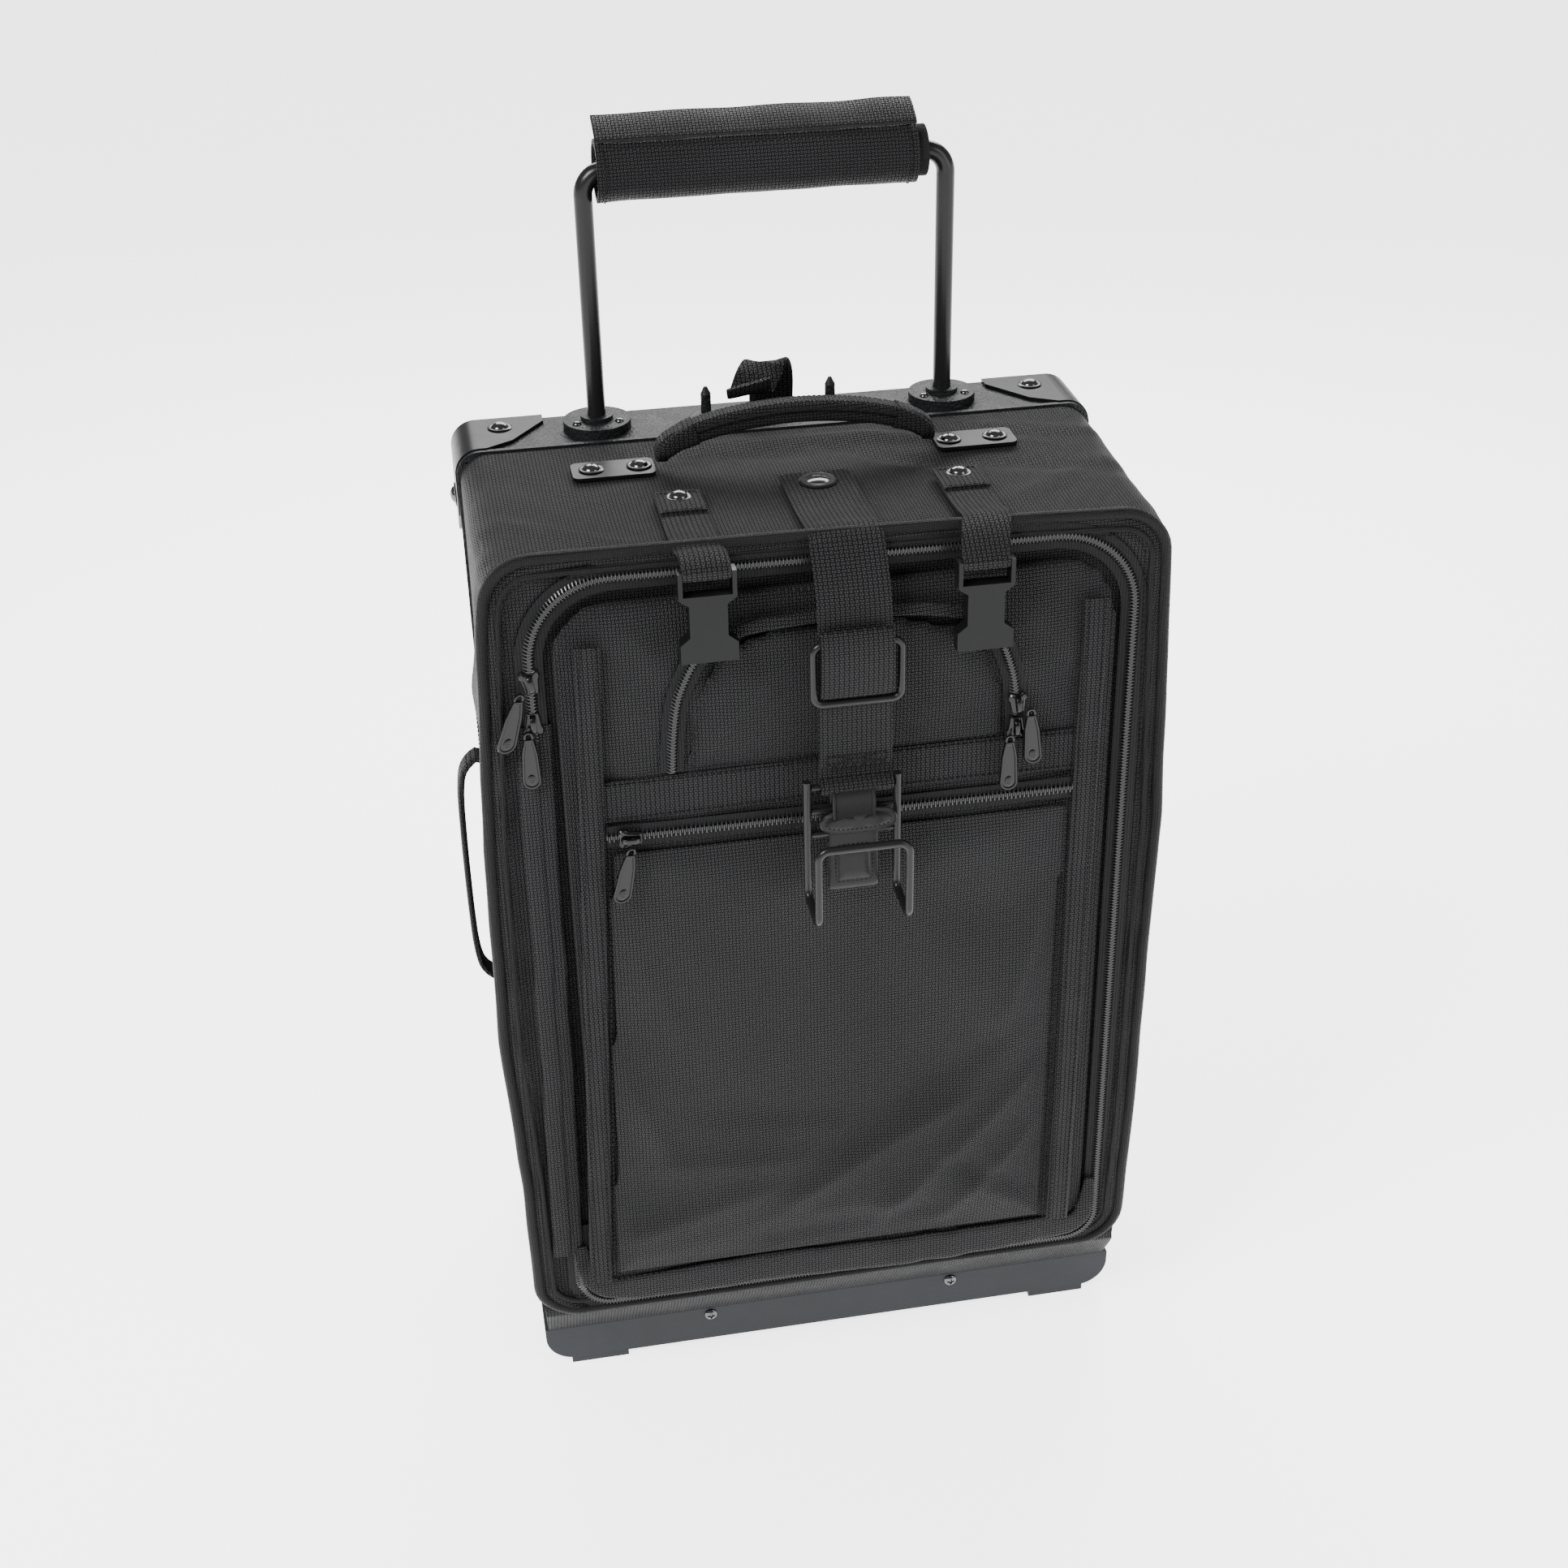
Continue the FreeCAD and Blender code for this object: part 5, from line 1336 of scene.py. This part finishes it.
def wrap_flap():
    """The wrap's free edge, standing up: cloth outside and loop pile inside."""
    (left, near, low), (right, far, high) = span("wrap_flap")
    layers = {"cloth": (0.0, 0.8, "ballistic_nylon"), "pile": (0.8, 2.1, "pile")}
    for name, (inner, outer, slot) in layers.items():
        rings = []
        for offset in (inner, outer):
            order = range(13) if offset == inner else range(12, -1, -1)
            for k in order:
                share = k / 12
                ring = []
                for j in range(49):
                    x = left + (right - left) * j / 48
                    lift = 0.9 * ripple(x, 3, share * 9, 30) * share
                    curl = 1.2 * math.sin(share * math.pi * 0.9)
                    y = near + 1.0 + (far - near - 1.5) * share
                    z = low + (high - low - 2.4) * share + curl + lift
                    ring.append((x, y - 0.45 * offset, z - 0.9 * offset + 1.6))
                rings.append(ring)
        points, faces = loft(rings, caps=False, closed=True, around=False)
        count = 49
        total = len(rings)
        for edge in (0, count - 1):
            order = range(total) if edge else reversed(range(total))
            faces.append(tuple(k * count + edge for k in order))
        piece = build("wrap_flap_" + name, points, faces, "wrap_flap", slot,
                      ("wrap_flap",) if name == "cloth" else ())


# ---------------------------------------------------------------- leather

def oval_loop(middle, low, high, half, top_half, count=44):
    """A pad outline that is wide and round below and a little narrower above."""
    centre = (low + high) / 2
    tall = (high - low) / 2
    loop = []
    for k in range(count):
        angle = 2 * math.pi * k / count
        c, s = math.cos(angle), math.sin(angle)
        wide = half + (top_half - half) * max(0.0, s)
        loop.append((middle + wide * math.copysign(abs(c) ** 0.72, c),
                     centre + tall * math.copysign(abs(s) ** 0.72, s)))
    return loop


def leather_pad():
    """The stitched pad and the narrow band that holds it on the middle pin."""
    middle, back = 5.6, -119.0
    loop = oval_loop(middle, 397.5, 412.8, 20.5, 17.5)
    bits = Bits()
    relief(bits, [(inset(loop, 0.8), back), (loop, back - 0.7), (loop, back - 1.7),
                  (inset(loop, 0.8), back - 2.4), (inset(loop, 2.4), back - 2.2),
                  (inset(loop, 3.4), back - 2.7), (shrink(loop, 0.5), back - 3.4),
                  (shrink(loop, 0.9), back - 3.5)])
    route = ((-113.4, 406), (-113.2, 420), (-114.6, 426.8), (-117.2, 425.8), (-119.6, 420), (-120.9, 412),
             (-121.6, 408))
    band = smooth_line(upright(middle - 2.4, *route), 1.5)
    bits.add(*loft(sweep(band, strap_section(21.0, 1.8), (1, 0, 0))))
    for side in (-1, 1):
        bits.add(*tube(band + np.array((side * 10.4, -0.4, 0)), 1.15, 8))
    join(bits, "leather_hook_pad", "hook", "leather", ("leather_pad",))
    row = [(x, back - 2.6, z) for x, z in inset(loop, 3.0)]
    sewn("leather_hook_pad_stitching", [row], "hook", "leather", closed=True, **TACK)


def leather_keeper():
    """A folded leather loop on the lowest pin, with a stitched square on its face."""
    middle, half = 3.4, 13.0
    line = smooth_line(upright(middle, (-113.2, 393), (-113.2, 398.0), (-115.2, 399.6),
                               (-117.2, 398.0), (-117.6, 393), (-118.0, 384), (-118.6, 374),
                               (-118.6, 366), (-117.6, 362.8), (-115.6, 363.6), (-114.8, 370),
                               (-114.4, 380), (-113.6, 390)), 1.6)
    bits = Bits()
    bits.add(*loft(sweep(line, strap_section(2 * half, 1.7), (1, 0, 0))))
    loop = dense([(middle - 8.4, 369), (middle - 8.4, 388), (middle + 8.4, 388), (middle + 8.4, 369)], 2.0)
    relief(bits, [(loop, -117.6), (loop, -119.6), (inset(loop, 0.8), -120.1), (shrink(loop, 0.6), -120.2)])
    join(bits, "leather_keeper_loop", "leather_keeper", "leather", ("leather_keeper",))
    row = [(x, -119.5, z) for x, z in inset(loop, -1.4)]
    sewn("leather_keeper_stitching", [row], "leather_keeper", "leather", closed=True, **TACK)


# ---------------------------------------------------------------- small hardware

def turned_part(bits, centre, facing, profile, sides=28, slot=0.0):
    """A turned head: rings of (radius, height) about an axis; a slot cuts a cross into its top."""
    facing = np.array(facing, float)
    side = np.array((0, 0, 1.0)) if abs(facing[2]) < 0.9 else np.array((1.0, 0, 0))
    u = np.cross(facing, side)
    u /= np.linalg.norm(u)
    v = np.cross(facing, u)
    rings = []
    for radius, height in profile:
        ring = []
        for k in range(sides):
            angle = 2 * math.pi * k / sides
            a, b = radius * math.cos(angle), radius * math.sin(angle)
            cut = slot if slot and min(abs(a), abs(b)) < 0.42 and radius < 2.3 else 0.0
            ring.append(np.array(centre) + u * a + v * b + facing * (height - cut))
        rings.append(ring)
    bits.add(*loft(rings))


def rivet_washers():
    """A dark ring under each dome rivet."""
    ring = ((6.6, 0.0), (6.8, 0.5), (6.2, 1.0), (5.2, 1.0), (4.6, 0.6))
    plates = [(CARRY_X + away, CARRY_Y, 551.7) for away in (-110, -84.5, 84.5, 110)]
    straps = [(x, -29.0, 553.4) for x, _, _ in BUCKLES.values()]
    guards = [(sign * 151.5, 94.3, 551.3) for sign in (-1, 1)]
    bits = Bits()
    for place in plates + straps + guards:
        turned_part(bits, place, (0, 0, 1), ring)
    for sign in (-1, 1):
        turned_part(bits, (sign * 178.8, 94.3, 514.5), (sign, 0, 0), ring)
    turned_part(bits, (5.0, -22.0, 552.4), (0, 0, 1), ((10.0, 0.0), (10.2, 0.8), (9.2, 1.6), (7.8, 1.4)))
    join(bits, "rivet_washers", "case", "guard_metal", look=WASHER)
    heads = Bits()
    dome = [(4.8 * math.cos(a), 0.4 + 2.9 * math.sin(a)) for a in np.linspace(0, math.pi / 2 - 0.12, 7)]
    for x, y, z in straps:
        turned_part(heads, (x, y, z + 0.4), (0, 0, 1), dome)
    join(heads, "strap_rivet_domes", "case", "rivet_metal")


def screws():
    """Cross-recessed pan heads on the skid plate and round the bezels."""
    head = [(4.1 * math.cos(a), 2.1 * math.sin(a)) for a in np.linspace(0, math.pi / 2 - 0.02, 14)]
    bits = Bits()
    for x in (-76.0, 76.0):
        turned_part(bits, (x, -63.0, 24.5), (0, -1, 0), head, 48, 1.0)
    join(bits, "skid_screw_heads", "case", "rivet_metal", ("skid_screws",))
    small = [(2.5 * math.cos(a), 1.7 * math.sin(a)) for a in np.linspace(0, math.pi / 2 - 0.02, 12)]
    bits = Bits()
    for side in (-RODS_X, RODS_X):
        for angle in (90, 210, 330):
            x = side + 13.6 * math.cos(math.radians(angle))
            y = RODS_Y + 13.6 * math.sin(math.radians(angle))
            turned_part(bits, (x, y, 554.8), (0, 0, 1), small, 32)
    join(bits, "bezel_screw_heads", "case", "rivet_metal", ("bezel_screws",))


def back_cover():
    """The fabric on the back panel, held by a stitched border."""
    loop = dense([(172, 82.8), (172, 544.8), (-172, 544.8), (-172, 82.8), (-133.2, 82.8), (-133.2, 17.6),
                  (133.2, 17.6), (133.2, 82.8)], 6.0)
    bits = Bits()
    relief(bits, [(loop, 106.4), (loop, 108.8), (inset(loop, 1.0), 109.5)])
    panel = rounded_loop(-146, 146, 104, 524, 16, 16, 8)
    relief(bits, [(panel, 109.2), (inset(panel, 0.6), 110.2), (inset(panel, 3.0), 110.7),
                  (shrink(panel, 0.5), 110.9)])
    join(bits, "back_panel_cloth", "case", "ballistic_nylon", ("back_panel",))
    row = [(x, 109.9, z) for x, z in inset(loop, 5.0)]
    sewn("back_panel_stitching", [row], "case", "ballistic_nylon", closed=True)


def hub_faces():
    """Five raised spokes and a rim on both faces of each wheel's hub."""
    wheel_x, wheel_y, wheel_z = WHEEL_CENTRE
    for side, sign in (("left", -1), ("right", 1)):
        bits = Bits()
        for face in (-1, 1):
            x = sign * wheel_x + face * 14.0
            rim = [(x + face * 0.4, wheel_y + 20.5 * math.cos(a), wheel_z + 20.5 * math.sin(a))
                   for a in np.linspace(0, 2 * math.pi, 48)[:-1]]
            bits.add(*tube(rim, 1.1, 8, True, (1, 0, 0)))
            for k in range(5):
                angle = 2 * math.pi * k / 5 + 0.3
                y, z = math.cos(angle), math.sin(angle)
                ends = [(x + face * 0.2, wheel_y + reach * y, wheel_z + reach * z) for reach in (12.6, 19.8)]
                bits.add(*capsule(*ends, 1.5, 10))
        join(bits, "hub_spokes_" + side, "wheel_" + side, "wheel_hub")


BEVELS = {
    "buckle_left": 0.9, "buckle_right": 0.9, "skid_plate": 1.6, "front_feet": 0.8,
    "carry_handle_plates": 0.6, "corner_guards": 0.5, "wheel_housings": 0.8, "handle_bezels": 0.7,
    "rear_frame": 0.6, "frame_lip": 0.4,
    "hub_left": 0.6, "hub_right": 0.6, "axle_bolts": 0.4,
}


def dress_frame():
    """Give every node that still shows its own finish and softened edges."""
    slots = {part["node"]: part["material_slot"] for part in frame["record"]["subparts"]}
    for node, piece in frame["nodes"].items():
        look = LOOKS[slots[node]]
        if not piece.material_slots:
            piece.data.materials.append(look)
        for place in piece.material_slots:
            place.material = look
        if node in BEVELS:
            soft = piece.modifiers.new("edge", "BEVEL")
            soft.width = BEVELS[node] * MM
            soft.segments = 3
            soft.limit_method = "ANGLE"
            soft.angle_limit = math.radians(35)
            soft.harden_normals = False


def make():
    camera()
    studio()
    dress_frame()
    for part in (cover, front_face, skirt, piping, pads, seams_on_panel, bands, zips, sliders):
        part()
    for node, x, lean in PULLS:
        pull(node, x, lean)
    for part in (centre_strap, buckle_straps, rear_strap, carry_handle, side_handle, grip_wrap, wrap_flap,
                 leather_pad, leather_keeper, rivet_washers, screws, back_cover, hub_faces):
        part()


make()
